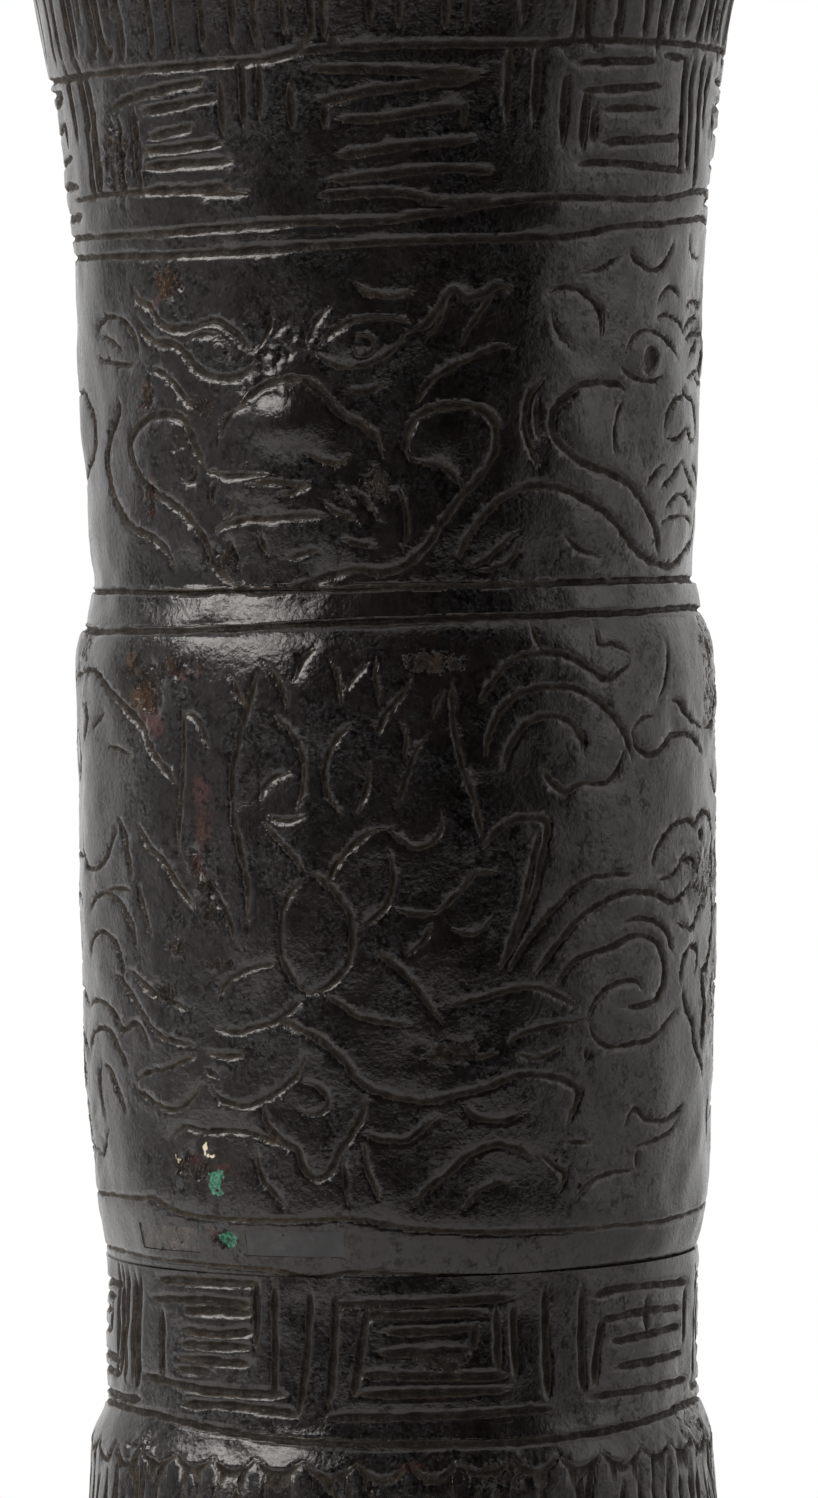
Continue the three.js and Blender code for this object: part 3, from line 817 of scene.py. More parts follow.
ROCKS = [
    [(-40, 156.3), (-37, 156.6), (-34.5, 156), (-32, 154.5), (-29, 152.8), (-26.5, 151.2), (-26, 150.2),
     (-24.5, 148.5), (-22, 146.2)],
    [(-33.5, 149.6), (-31, 149.3), (-28.3, 148.8)],
    [(-36.5, 151), (-35, 152), (-33.5, 152.7)],
    [(-40, 139), (-38.5, 138.1), (-35.5, 138.2), (-33, 139.8), (-31, 142.5)],
    [(-31, 143.2), (-30, 141.5), (-29.2, 139), (-28.7, 136.8)],
    [(-27.6, 142.5), (-26, 140.5), (-24, 139.2), (-22.3, 137), (-20.2, 134.8)],
    [(-38, 134), (-36.5, 135.3), (-34, 135.9), (-31, 135), (-29, 133), (-28.6, 130.8)],
    [(-38.5, 129.5), (-37.5, 131.3), (-35, 132.3), (-32.5, 131.5), (-31, 129.5), (-31, 128.3)],
    [(-34, 136.2), (-30, 136.4), (-28.5, 135.8)],
    [(-28, 137), (-27, 134.5), (-26, 131.8)],
    [(-40, 125), (-38, 125.7), (-35, 125.6), (-32.5, 124.5), (-31.3, 123.3), (-29.5, 124), (-28, 123.5),
     (-26.7, 121.8)],
    [(-40, 120.8), (-38.5, 122.5), (-36, 123.2), (-33.5, 122.8), (-30.5, 119.8)],
    [(-36.3, 120.5), (-37.5, 118), (-36.6, 114.8)],
    [(-36.5, 119.8), (-34.5, 119.5), (-33, 117.8), (-31.2, 115.4)],
    [(-40, 111.4), (-38, 111.5), (-35.5, 114)],
    [(-33.3, 128.7), (-31, 127.8), (-28.5, 125.8), (-25.5, 123.3), (-20.5, 122.2)],
    [(-31, 129), (-28.5, 128.4), (-26, 127), (-20.5, 125.5)],
    [(-29.8, 118.4), (-27, 119.7), (-24.5, 120), (-20.5, 121.5)],
    [(-29.8, 118.2), (-27, 117), (-24, 116.3), (-21.5, 117.3), (-19.8, 119)],
    [(-25, 113.3), (-22.5, 114.8), (-20, 114.5), (-17, 114.7), (-14, 114.3), (-10.8, 113.3)],
]
REEDS = [
    [(-21.3, 153.5), (-21.2, 150), (-21.5, 146), (-22, 142), (-22, 139.5)],
    [(-21.5, 152.8), (-19.7, 152.3), (-18.5, 150.2), (-18.2, 148.6)],
    [(-16, 156.3), (-15, 154.5), (-14.3, 153)],
    [(-13, 156.5), (-14, 153.5), (-15, 150.5), (-15.8, 147), (-15.6, 143), (-14.5, 138), (-14.3, 134)],
    [(-12.8, 157.5), (-11.5, 156.3), (-10.5, 154.5), (-10.2, 152.8)],
    [(-7.6, 158.7), (-8.8, 157.3), (-9.6, 155.5)],
    [(-11.5, 152.5), (-9.8, 150.8), (-8.8, 148.5), (-8.8, 146), (-9.5, 143.8)],
    [(-9.9, 147.4), (-11.5, 147), (-12.8, 145.7), (-13, 144.5)],
    [(-12.5, 143.5), (-10.5, 143), (-8.4, 143.5)],
    [(-13, 143), (-11, 141), (-9.5, 139.3), (-8.7, 137.8)],
    [(-20, 139.5), (-18, 136.5), (-16.5, 134.2), (-15.5, 131.5)],
    [(-11.5, 130.1), (-14, 129.6), (-16.5, 128.5), (-18, 126.5)],
    [(-18.5, 124), (-16, 123.7), (-13.5, 124.3), (-11.5, 125), (-9, 127)],
    [(-20, 122), (-17, 121.4), (-14.5, 122)],
    [(-20, 120.3), (-17.8, 119.5)],
    [(-19.3, 118.7), (-17.5, 117.4), (-15, 117), (-12.5, 118), (-10.3, 119.5), (-8.8, 121.8)],
]
LOTUS = [
    [(-6.4, 158), (-5.5, 156), (-5.1, 153.3)],
    [(-4.8, 154.5), (-4, 156), (-2.3, 157.3)],
    [(-1.9, 158), (-2, 156), (-1.5, 153)],
    [(-2.3, 152), (-1.8, 151), (-1.2, 152.5), (0.3, 154.2), (1.6, 156)],
    [(-4, 151.7), (-5.5, 150.5), (-6.7, 148), (-6.6, 145.5), (-5.2, 143.5)],
    [(-2.6, 148.5), (-2.8, 146.5), (-3.5, 144.5), (-4.3, 143.3)],
    [(0.2, 152), (0.7, 150), (0.5, 148)],
    [(2.9, 150.8), (1.5, 149), (0.6, 146.5), (-0.5, 143.8)],
    [(-8.6, 137.9), (-10.5, 136), (-11.2, 133), (-11, 130.3), (-9.8, 128.2), (-8.3, 127.2)],
    [(-8, 138.3), (-6, 136.5), (-4.7, 134.5), (-4.5, 131.5), (-5.2, 129.5), (-7, 127.9), (-8.6, 127.3)],
    [(-6.8, 136.5), (-6.3, 138.2), (-4.5, 140.5), (-2.8, 141.8), (-1.3, 142.2)],
    [(-1.3, 142.2), (0, 141.2), (1.5, 140.4), (3, 140.9), (3.9, 142.3), (3.9, 144)],
    [(-1.1, 140.3), (-0.6, 138), (-1.2, 135.5), (-2.5, 134), (-4, 133.2)],
    [(3, 133.5), (2, 132), (0.5, 130.6)],
    [(5, 156), (5, 152), (5.6, 148.5), (6.8, 145), (7.4, 142), (7.5, 140.3)],
    [(3, 151.8), (3.5, 153.5), (4.5, 154.8)],
    [(7.5, 140.2), (9, 141.8), (11, 142.8), (13, 142.9), (14, 142.2), (13.5, 140), (12.3, 135.5),
     (10.5, 131.5), (9, 129)],
    [(13, 141.5), (11.5, 135.5), (9.5, 129.5)],
    [(6.6, 139), (6, 137), (4.5, 135.5), (3, 134.3)],
    [(9, 138), (7, 138), (6, 136.5)],
    [(-0.5, 134.8), (1.5, 134.4), (3.5, 134.5)],
    [(4.5, 133), (6, 132.5), (7.5, 132.8), (8.5, 134)],
]
CLOUDS = [
    [(7.3, 153.2), (8.5, 155), (10.5, 157), (13, 157.8), (16, 157.6), (19, 156.2), (21, 155.3),
     (24.2, 156.8)],
    [(13, 161), (13.3, 159), (14, 158)],
    [(20.1, 161), (20, 158.6), (22, 158.5), (25, 157.3)],
    [(8, 148.5), (8.5, 151), (10, 153.3), (12.5, 154.5), (16, 154.7), (19, 153.7), (21.5, 151.8),
     (23.3, 149.5), (24, 147.5)],
    [(9.7, 147.3), (10.2, 149.3), (12, 151.5), (14.5, 152.1), (16.5, 151.5), (17.7, 150), (17.8, 148.6)],
    [(23, 149), (22, 147), (20.5, 145.9), (17.5, 145.9), (16, 145.2), (14.5, 146), (13.5, 147.5)],
    [(24, 150.5), (25.5, 151.6), (28, 151.8)],
    [(24, 150.8), (24.5, 149), (26.5, 148.2), (28.5, 148.9), (30, 149.8), (32.5, 150), (35, 149.4),
     (37, 148.2)],
    [(29.3, 159), (29.8, 157), (29.3, 155), (28, 153.2)],
    [(29.5, 153.3), (31.5, 153), (34, 151.3), (38, 150.3)],
    [(26.7, 137.8), (27.5, 139.5), (30, 141.4), (33, 142), (34.5, 141.5), (36.5, 142.5), (40, 142.3)],
    [(27, 136.6), (30, 137), (32, 138.5), (33, 139)],
    [(31.5, 138), (34, 138.3), (35.3, 136.8)],
]
WAVES = [
    [(10, 129), (12, 132), (15, 135), (17, 136.5), (19, 137.3), (24, 137.5)],
    [(12.5, 128.5), (15, 131.5), (18, 134), (22, 135.6), (26, 135.6), (30, 134.6), (34, 136.2)],
    [(22, 133), (25, 133.3), (28, 132.3), (30.3, 129.5)],
    [(29.8, 132.8), (32, 132.2), (34, 132), (37, 134.3)],
    [(14.7, 127.5), (17, 129.8), (21, 130.8), (24, 131.7), (27, 131), (28.5, 128.5), (27.8, 126),
     (25.5, 125.3), (22, 125.3)],
    [(18.2, 124.5), (19, 126), (21, 127.3), (24, 127.6), (25.3, 126.5)],
    [(18.3, 124.3), (19, 122.8), (21, 121.7), (24, 121.8), (27, 122.2), (31.2, 124.6)],
    [(32, 126.7), (33, 124.5), (34.5, 123), (35, 121), (37.8, 117.7)],
    [(37, 127.5), (37.3, 125), (36.5, 120.3)],
    [(31.5, 126.5), (32, 129), (34, 130.2), (35.8, 129.6), (35, 127.5)],
    [(33.5, 116), (31, 114.8), (28.5, 114.4), (26, 114.8), (24.5, 115.8), (23, 114)],
    [(32, 114.3), (29.5, 113), (24, 112.2)],
    [(25, 112), (25, 110.2)],
    [(16.8, 107.8), (18.5, 109.3), (21, 110), (25, 110.2)],
    [(13, 112.5), (14.5, 111.3), (15.8, 110.3), (15, 108.5)],
    [(15.3, 113.3), (19, 113)],
    [(18.2, 122), (18.2, 120.5)],
    [(3.5, 125.8), (8, 126.8), (10.5, 127.4), (13.5, 127.3), (17.5, 125.3)],
    [(9.5, 122.3), (12, 123.5), (18, 124.4)],
    [(10.8, 121.5), (13, 121), (15.5, 122)],
    [(1.5, 121.3), (4, 121.6), (7, 121.3), (9.5, 122)],
    [(5.2, 117.2), (7, 115.8), (9.5, 115.5), (12, 116.3)],
]
CRANE = [
    [(-13.5, 117.5), (-13, 115.3), (-11.5, 113.9), (-10, 113), (-9.5, 111.5), (-8.5, 110.5), (-7, 111),
     (-6, 112.8), (-4.5, 115), (-3.6, 116.8), (-3.4, 118.2)],
    [(-9.5, 119.2), (-8, 118.8), (-7, 117.8), (-7.3, 116.7), (-8.7, 116.3), (-10, 116.7)],
    [(-12.5, 125), (-10, 124.3), (-7.5, 123), (-5.5, 121.3), (-4.5, 119.8), (-3, 118.6), (-0.5, 117.8),
     (2.5, 117.4), (4.5, 117.8), (8, 118.6), (11, 119.6), (14, 119.3), (16, 118.8), (17.3, 117.5),
     (16, 114.8)],
    [(-7.5, 127.4), (-5.5, 126.2), (-3.5, 125), (1, 124.3)],
    [(-2.5, 131), (-0.5, 129.8), (1.5, 127.5), (3.8, 124.3)],
    [(-14.3, 113), (-13.8, 110.5), (-11.3, 107.8)],
    [(-5.7, 112.2), (-5.2, 107.8)],
    [(-3.8, 114), (-3.3, 111), (-2, 108.2)],
    [(-4, 114.7), (-2, 114), (0.5, 114), (3.5, 116.2)],
    [(0.8, 107.8), (2, 109.3), (4, 110.7), (6, 112.3), (8.5, 113.3), (11, 112.8), (12.5, 111.8)],
    [(5.5, 107.3), (7, 109), (9.5, 109.8), (11, 109.3)],
    [(34.5, 141.2), (37, 142.5), (39.5, 142), (41, 140.5), (41.5, 138), (40.5, 135.5)],
    [(40.8, 135), (41, 132), (40, 130), (38.5, 128), (37, 127.5), (37.7, 125), (37.5, 122), (36.8, 120.5)],
    [(40.5, 116), (41, 113), (41.8, 111.5)],
    [(-40.5, 153.5), (-38.5, 153), (-38, 151.5), (-40, 149.5)],
    [(-41.5, 141.5), (-40.5, 139.5), (-38, 138.2)],
]
SHORE = [
    [(38, 150.3), (41, 150.6), (44, 152.4), (47, 154.6), (50, 155.8), (54.2, 156.3)],
    [(44, 148), (46, 150.2), (49, 151), (51.5, 149.8), (52, 147.6), (50.5, 146.2), (48.6, 146.6),
     (48.2, 148.2)],
    [(40.5, 146.5), (42.5, 144.5), (45.5, 143.8), (48.5, 144.6)],
    [(45, 141.8), (47, 140), (50, 139.2), (54.2, 139)],
    [(43.5, 138.5), (45, 136.5), (48, 135.2), (51, 135.4), (53.4, 134.4)],
    [(42.5, 132.5), (44.5, 134), (47.5, 133.6), (49.6, 131.6), (49.2, 129.4), (47, 128.6), (45.2, 129.6),
     (45.4, 131)],
    [(42.5, 127.5), (45, 126.2), (48.5, 126.4), (51, 126.4), (54.2, 125)],
    [(42, 124), (44, 122.8), (47, 123.4), (50, 122.2), (54.2, 120.8)],
    [(43.5, 120), (45.5, 118), (48, 117.6), (50.5, 119), (52.5, 118.5)],
    [(42.5, 113.6), (45, 114.8), (48, 114.4), (50.5, 112.6), (54.2, 111.4)],
    [(44.5, 110.4), (47, 111.6), (50, 110.6)],
]
CRANE_EYE, EYE_RADIUS, EYE_DEPTH = (36.5, 140.2), 0.6, 0.4
FOOT_SEAM = [(-38, 102.3), (-15, 102), (-10, 101.3), (-5, 101.8), (0, 101.7), (10, 101), (25, 101.4)]
FOOT_SEAM += [(38, 101.3)]
NECK_SEAM = [(-38, 160.1), (-20, 160.3), (-5, 160.8), (10, 161.2), (25, 161.3), (38, 161.6)]
POND_SHORE = [(-40, 107.5), (-30, 107.8), (-27, 108), (-24, 107), (-20, 106.6), (-10, 106.6), (-5, 106.8)]
POND_SHORE += [(0, 106), (5, 105.5), (12, 105.2), (20, 105.2), (30, 105), (40, 105.3)]
LONG_STROKE, LONG_WIDTH = 6, 0.37  # a stroke noted by more points than this is cut a little broader

knop_board = Board(knop_base, knop_top, knop_radius, seed=3)
for half in (0, TURN / 2):
    for stroke in ROCKS + REEDS + LOTUS + CLOUDS + WAVES + CRANE + SHORE:
        knop_board.line(stroke, LONG_WIDTH if len(stroke) > LONG_STROKE else LINE_WIDTH, shift=half)
    knop_board.press(CRANE_EYE[0] + half, CRANE_EYE[1], EYE_RADIUS, EYE_DEPTH)
border(knop_board, POND_SHORE, 0.32, 0.26)
border(knop_board, FOOT_SEAM, 0.3, 0.24)
border(knop_board, NECK_SEAM, 0.36, 0.4)
knop_board.swell([(-18.6, 136.7, 1.5, 0.6, 0.25), (-26, 155.2, 2, 2.4, -0.4)])
CORRODED = [(-25.6, 154.6, 2.4, 3), (-22.6, 156.8, 2.6, 1.2), (-20, 138.8, 0.9, 1.5)]
CORRODED += [(-18.6, 136.7, 1.7, 0.7), (-18.2, 134.4, 1.1, 1.5), (-22, 131, 2, 0.9), (-17.3, 129.6, 1.8, 0.8)]
CORRODED += [(-24, 126.6, 1.8, 1.3), (5, 121.5, 3, 1.4), (3.5, 157, 3.4, 1.3), (-21.4, 110.7, 2.8, 1.6)]
CORRODED += [(-18.2, 104.3, 1.8, 1)]
knop_board.corrode(CORRODED)
REDDENED = [(-18.9, 145.4, 1.3, 1.8), (-18.7, 142, 1.1, 2.4), (-20.7, 155.9, 1.7, 0.6)]
REDDENED += [(-18.9, 156.9, 0.6, 1.2), (-24.2, 151.3, 1.1, 1.4), (-19.6, 138.6, 0.8, 1.4)]
REDDENED += [(-25.5, 151.5, 0.9, 0.9), (-19.4, 105, 1.2, 0.7), (-17.6, 110.8, 1.6, 0.7)]
REDDENED += [(-20.5, 111.6, 1.4, 0.8)]
knop_board.stain("cuprite", REDDENED)
GREENED = [(-18.2, 110.3, 0.9, 0.5), (-18.6, 109.3, 0.6, 0.8), (-18.1, 108.3, 0.6, 0.5)]
GREENED += [(-17.5, 104.3, 1.1, 0.7), (-13.7, 103.7, 0.4, 0.5)]
knop_board.stain("malachite", GREENED)
RUSTED = [(-28.4, 157, 0.9, 1.6), (-27.2, 153.6, 1.7, 1.6), (-25.6, 152, 1.4, 1.5), (19, 141.6, 0.7, 0.4)]
knop_board.stain("rust", RUSTED)
knop_board.stain("pale", [(-19.5, 112.5, 0.3, 0.9), (-18.8, 111.7, 0.7, 0.35), (-23.2, 111.8, 0.35, 0.7)])
knop_board.age(30, knop_base, knop_top, smallest=(2, 1.5), largest=(7, 6), strength=0.85)
knop_board.spot(7, knop_base + 3, knop_top - 3, red_size=(1.6, 1.1), green_size=(0.9, 0.8))

# The holes that the pins of the casting core left in the knop's lower strip. They are let in square, a little
# deeper than the plates that close them.
PLATES = {  # degrees from the front, width, how far its face lies sunk, and how corroded it is
    "core_plate_front_left": (-49, 8.2, 0.06, 1),
    "core_plate_front": (-20, 9.5, 0.03, 0.25),
    "core_plate_back_right": (128, 8.6, 0.1, 0.6),
    "core_plate_back_left": (-141, 9, 0.14, 0.9),
}
PLATE_RISE, PLATE_HEIGHT, PLATE_DEPTH, PLATE_GAP, PLATE_SHORT = 1.9, 2.4, 1.7, 0.025, 0.3
CUT_MARGIN = 1.5  # the skin is cut this far beyond a hole
plate_low = knop_base + PLATE_RISE
plate_high = plate_low + PLATE_HEIGHT
plate_skin = float(knop_radius(plate_low))


def pocket(ring, bearing, width):
    """Lets a square-sided hole into the knop's lower strip."""
    middle, half = math.radians(bearing), width / 2 / plate_skin

    def skin(margin):
        found = []
        for face in ring.faces:
            co = face.calc_center_median()
            off = abs((math.atan2(co.x, -co.y) - middle + math.pi) % (2 * math.pi) - math.pi)
            level = plate_low - margin < co.z < plate_high + margin
            if level and off * BOARD_RADIUS < width / 2 + margin and co.xy.length > SOCKET_RADIUS + 1:
                found.append(face)
        return found

    sides = [(Vector((0, 0, z)), Vector((0, 0, 1))) for z in (plate_low, plate_high)]
    sides += [(Vector(), Vector((math.cos(a), math.sin(a), 0))) for a in (middle - half, middle + half)]
    for place, across in sides:
        faces = skin(CUT_MARGIN)
        cloth = [*faces, *{e for f in faces for e in f.edges}, *{v for f in faces for v in f.verts}]
        bmesh.ops.bisect_plane(ring, geom=cloth, plane_co=place, plane_no=across, dist=0.001)
    lid = skin(0)
    sunk = bmesh.ops.extrude_face_region(ring, geom=lid)["geom"]
    bmesh.ops.delete(ring, geom=lid, context="FACES")
    for v in sunk:
        if isinstance(v, bmesh.types.BMVert):
            v.co.xy *= 1 - PLATE_DEPTH / v.co.xy.length


KNOP_ROWS, knop_bore = 72, KNOP_RADIUS - KNOP_WALL
top_floor, bottom_floor = knop_top - TOP_SOCKET, knop_base + BOTTOM_SOCKET
knop_outline = [(SOCKET_RADIUS, knop_base)]
knop_outline += [(float(knop_radius(z)), z) for z in np.linspace(knop_base, knop_top, KNOP_ROWS)]
knop_outline += [(SOCKET_RADIUS, knop_top), (SOCKET_RADIUS, top_floor), (knop_bore, top_floor - SOCKET_BLEND)]
knop_outline += [(knop_bore, bottom_floor + SOCKET_BLEND), (SOCKET_RADIUS, bottom_floor)]
knop_ring = spun(knop_outline)
for bearing, width, _, _ in PLATES.values():
    pocket(knop_ring, bearing, width)
skin_low, skin_high = knop_base - SKIN_PAST, knop_top + SKIN_PAST
chased("knop", knop_ring, knop_board, skin_low, skin_high, "knop_casting", bronze)

# The core plates: small pieces of bronze hammered into those holes to close the knop's wall. Left rough by
# the hammer, they have corroded to grains.
GRAIN_DARK, GRAIN_LIGHT = (0.0020, 0.0014, 0.0012, 1), (0.060, 0.042, 0.032, 1)
PLATE_GREEN = (0.012, 0.028, 0.019, 1)
PLATE_CUTS, PLATE_ROUGHNESS = 23, (-0.5, 0.2)
plate_finish = Finish("granular_corroded_bronze")
worn = plate_finish.mark("worn")
bloom = plate_finish.noise(scale=650, detail=3)
plate_tone = cloudy(plate_finish, 110, PATINA_DARK, BLOOM)
plate_tone = plate_finish.blend(worn, plate_tone, cloudy(plate_finish, 900, GRAIN_DARK, GRAIN_LIGHT))
mossy = plate_finish.times(plate_finish.span(bloom, 0, 0.5, 0.6, 0.72), worn)
plate_tone = plate_finish.blend(mossy, plate_tone, PLATE_GREEN)
plate_bump = plate_finish.bump(1, 0.0003, plate_finish.times(grained(plate_finish, 1500, 0.8), worn))
plate_rough = plate_finish.span(bloom, 0.22, 0.5, 0.35, 0.7)
plate_finish.finish(Base_Color=plate_tone, Roughness=plate_rough, Normal=plate_bump)

hands = np.random.RandomState(14)
for node, (bearing, width, sunk, wear) in PLATES.items():
    block = bmesh.new()
    worn_layer = block.verts.layers.float.new("worn")
    bmesh.ops.create_cube(block, size=1)
    bmesh.ops.subdivide_edges(block, edges=block.edges, cuts=PLATE_CUTS, use_grid_fill=True)
    for v in block.verts:
        rough = hands.uniform(*PLATE_ROUGHNESS) * sunk if v.co.y < -0.49 else 0
        z = (plate_low + plate_high) / 2 + v.co.z * (PLATE_HEIGHT - 2 * PLATE_GAP)
        turn = math.radians(bearing) + v.co.x * (width - 2 * PLATE_GAP) / plate_skin
        skin = float(knop_radius(z)) + float(knop_board.sample(knop_board.uneven, turn * BOARD_RADIUS, z))
        r = skin - sunk + rough - (PLATE_DEPTH - sunk - PLATE_SHORT) * (v.co.y + 0.5)
        v.co = Vector((r * math.sin(turn), -r * math.cos(turn), z))
        v[worn_layer] = wear
    bmesh.ops.recalc_face_normals(block, faces=block.faces)
    name = node.replace("core_", "") + "_grained"
    placed(meshed(name, block), node, plate_finish.material)

# The neck: the trumpet above, cast with the spigot that enters the knop. A bead covers the joint. Above it
# are chased four beast masks, a band of squared scrolls, and eight hatched leaves that climb to two lines
# under the lip.
neck_base = knop_top
SPIGOT_END = neck_base - SPIGOT_LENGTH
NECK_HEIGHT, NECK_RADIUS, NECK_WALL, NECK_FLARE_POWER = 138, 28.2, 2.8, 2.55
BEAD_HEIGHT, BEAD_SHARE, BEAD_POWER, MOUTH_RADIUS = 3.4, 0.75, 1.6, 75
BEAD_RADIUS = float(knop_radius(knop_top))  # at its foot, where it carries on from the knop
FLARE_BASE, NECK_TOP = neck_base + BEAD_HEIGHT, neck_base + NECK_HEIGHT
MASK_SWELLING, MASK_RISE, MASK_TOP, MASK_FADE = 0.4, 4, 197, 18


def neck_radius(z):
    share = np.clip((z - FLARE_BASE) / (NECK_TOP - FLARE_BASE), 0, 1)
    bead = 1 - BEAD_SHARE * np.clip((z - neck_base) / BEAD_HEIGHT, 0, 1) ** BEAD_POWER
    swelling = np.clip((z - FLARE_BASE - 1) / MASK_RISE, 0, 1)
    swelling = MASK_SWELLING * swelling * np.clip((MASK_TOP + MASK_FADE - z) / MASK_FADE, 0, 1)
    flare = (MOUTH_RADIUS - NECK_RADIUS) * share**NECK_FLARE_POWER
    return NECK_RADIUS + flare + (BEAD_RADIUS - NECK_RADIUS) * bead * (z < FLARE_BASE) + swelling


FRONT_MASK = [
    [(-28.2, 191.8), (-27.6, 190.6), (-26, 190), (-24.8, 188.8), (-23, 187.9), (-20.5, 187.9),
     (-18, 188.4), (-16, 187.8), (-13.5, 185.4)],
    [(-27.8, 189), (-26.5, 187.4), (-24.8, 186.6), (-22.5, 186.4), (-21, 185.4), (-19.5, 184),
     (-17, 183.2), (-14.5, 183.5), (-13.3, 184.8)],
    [(-21.2, 186.2), (-20.2, 187), (-18.6, 187.3), (-16.8, 187)],
    [(-13.3, 185.6), (-12, 187.5), (-11.6, 189.5)],
    [(-7.4, 185.6), (-5.5, 187.3), (-3, 188.3), (0, 188.3), (2, 187.7)],
    [(-7.6, 185.4), (-6.2, 184.4), (-4.2, 183.9), (-1.5, 184.5), (0.2, 185.6), (1.3, 187)],
    [(-5.6, 189.7), (-7.2, 188.3), (-8, 186.5), (-7.8, 185.3)],
    [(-3.7, 185.9), (-3, 186.8), (-2, 186.5), (-1.8, 185.6), (-2.6, 185), (-3.5, 185.2), (-3.7, 185.9)],
    [(-3.8, 191.7), (-2.4, 190.7), (-0.8, 190.2), (0.8, 190.3), (2.3, 191)],
    [(-3.4, 191), (-1.6, 190)],
    [(1.2, 186.9), (3, 187.6), (4.4, 189.2), (5.5, 190.8), (7, 190), (8.6, 190.4), (10.2, 191.2),
     (11.7, 190.6)],
    [(2.8, 186), (4.2, 187.7), (5.3, 189.6)],
    [(6.2, 185.3), (7.2, 187.2), (8.6, 189.2), (10, 190.6)],
    [(2, 180.4), (3.2, 182.3), (5.5, 183.8), (8, 184.9), (10, 185.6), (12, 185.4)],
    [(-5.3, 181.8), (-3, 181.7), (-1.2, 182.1), (-0.2, 182.8)],
    [(-17.6, 176.6), (-17, 178.5), (-15.6, 180.2), (-14, 180.7)],
    [(-15.3, 180.2), (-13.5, 181.8), (-11.5, 182.7), (-9, 182.9), (-7.2, 182), (-5.8, 180.6),
     (-4.8, 179.6), (-3, 178.6), (-1.6, 177.4), (-1.1, 176)],
    [(-9, 176.5), (-7.8, 175.9), (-6.4, 175.4), (-5, 175.3), (-4.3, 176)],
    [(-19.3, 175), (-17, 174.3), (-14.5, 174.4), (-12, 174.4)],
    [(-14.8, 173.4), (-12, 173.7), (-9.5, 173.4), (-8, 173.5)],
    [(-11.4, 172.3), (-9.6, 172.8), (-8, 173.4)],
    [(-18.3, 171.5), (-18.5, 172.8), (-17.6, 174.1)],
    [(-17.4, 170.2), (-16.4, 171.2), (-15.6, 172.5)],
    [(-18.6, 169), (-17, 169.8), (-14.5, 170.3), (-11, 170.4), (-8, 170.6), (-6, 170.4)],
    [(-7, 171.6), (-5.5, 170.8), (-4, 170.2), (-3, 169.4)],
    [(-13.6, 169.5), (-13.1, 168), (-12.4, 166.9)],
    [(-11, 166.5), (-9.5, 167), (-8, 167.4), (-7, 167.3)],
    [(-16.9, 168.5), (-16.3, 167), (-15.6, 165.4)],
    [(-5.3, 168.4), (-3.5, 167.9), (-1.4, 167.5)],
    [(-4.9, 173), (-3.2, 172.2), (-2.2, 171), (-1.6, 169.9)],
    [(0.2, 172.9), (0.9, 171), (1.1, 169), (0.7, 167.1)],
    [(-16.5, 164.4), (-14, 163.8), (-11, 164), (-8.5, 164.4), (-7, 165), (-4, 165.6), (-1, 165.3),
     (1, 166), (3, 167.6), (4.5, 169.8), (6.5, 172.2), (8.7, 174.4), (9.9, 176.8), (9.6, 178.8),
     (8.2, 180), (6, 180.4), (3.6, 180.1), (1.8, 178.9), (1.1, 177), (1.4, 175.2)],
    [(1.4, 175.2), (3, 175.2), (5, 174.6), (6.1, 173.4), (6.6, 172.2)],
    [(7.8, 180.2), (9.3, 179.5), (10.5, 178.1)],
    [(-18.8, 175), (-19.8, 176.2), (-20.8, 178), (-21.8, 179.6), (-24, 180), (-26.5, 179.8),
     (-28.8, 178.6), (-29.7, 177), (-28.6, 175), (-26.5, 173.2), (-24, 172), (-22, 171), (-20.5, 169.6),
     (-19.5, 168.3), (-18.9, 166.5), (-17.8, 165.2), (-16.5, 164.4)],
    [(-22.6, 174), (-20.8, 174), (-20.3, 175.6)],
    [(-32.2, 181.8), (-31.8, 180.5), (-33.5, 178.5), (-34.8, 176.5), (-34.6, 174.5), (-33.3, 172.3),
     (-31.5, 170.6), (-29.5, 169.6), (-27, 168.8), (-25, 167.5), (-24, 165.5)],
    [(-36.5, 187.3), (-35, 188.6), (-32.5, 189.2), (-30, 188.6), (-28.3, 187), (-28, 185.4)],
    [(-35.8, 187.3), (-34, 187.3), (-32, 186.6), (-30.5, 185.6)],
    [(-27, 184.3), (-25, 184), (-23, 183), (-21.5, 181.5), (-20, 180.8), (-18, 180.7)],
    [(-37, 185.8), (-35, 185.2), (-31, 184.7), (-28, 184.6)],
]
SIDE_MASK = [
    [(24.5, 185), (25.5, 186.4), (27.5, 187.2), (30, 186.9), (32.3, 185.9), (34.3, 184.7)],
    [(23.8, 184.5), (25, 183.4), (27, 182.7), (29, 182.6), (30.5, 182.9), (31.8, 183.3)],
    [(27.1, 184.5), (28.3, 185.6), (29.5, 184.5), (28.3, 183.5), (27.1, 184.5)],
    [(29.5, 188.4), (32, 188.6), (34.5, 188), (36.5, 186.8)],
    [(31, 177.4), (31.7, 179.5), (33, 180.8), (35.2, 181.2), (36.5, 182.2)],
    [(31, 177.4), (33.5, 177.2), (35.3, 178), (36.5, 178.5)],
    [(27.8, 172.4), (29.2, 173.6), (31, 174.7), (32.2, 175)],
    [(30.6, 172.5), (33, 173.6), (34.8, 174.6), (36.2, 175.4)],
    [(31, 169.4), (33.5, 170), (36.5, 170.2)],
    [(31.8, 170.8), (34.5, 172), (36.5, 172.2)],
    [(25.5, 181.6), (24, 182.2), (21.5, 182.4), (19, 182.2), (17, 181), (15.6, 179.4), (15.8, 177.6),
     (17.5, 176), (20, 174.8), (23, 174), (25.5, 173), (27.5, 171.6), (29, 170), (30.3, 168.4),
     (31.3, 166.4)],
    [(25.3, 181.2), (24.2, 179.8), (23.4, 178.2), (23.4, 176.6), (23.7, 175.4)],
]
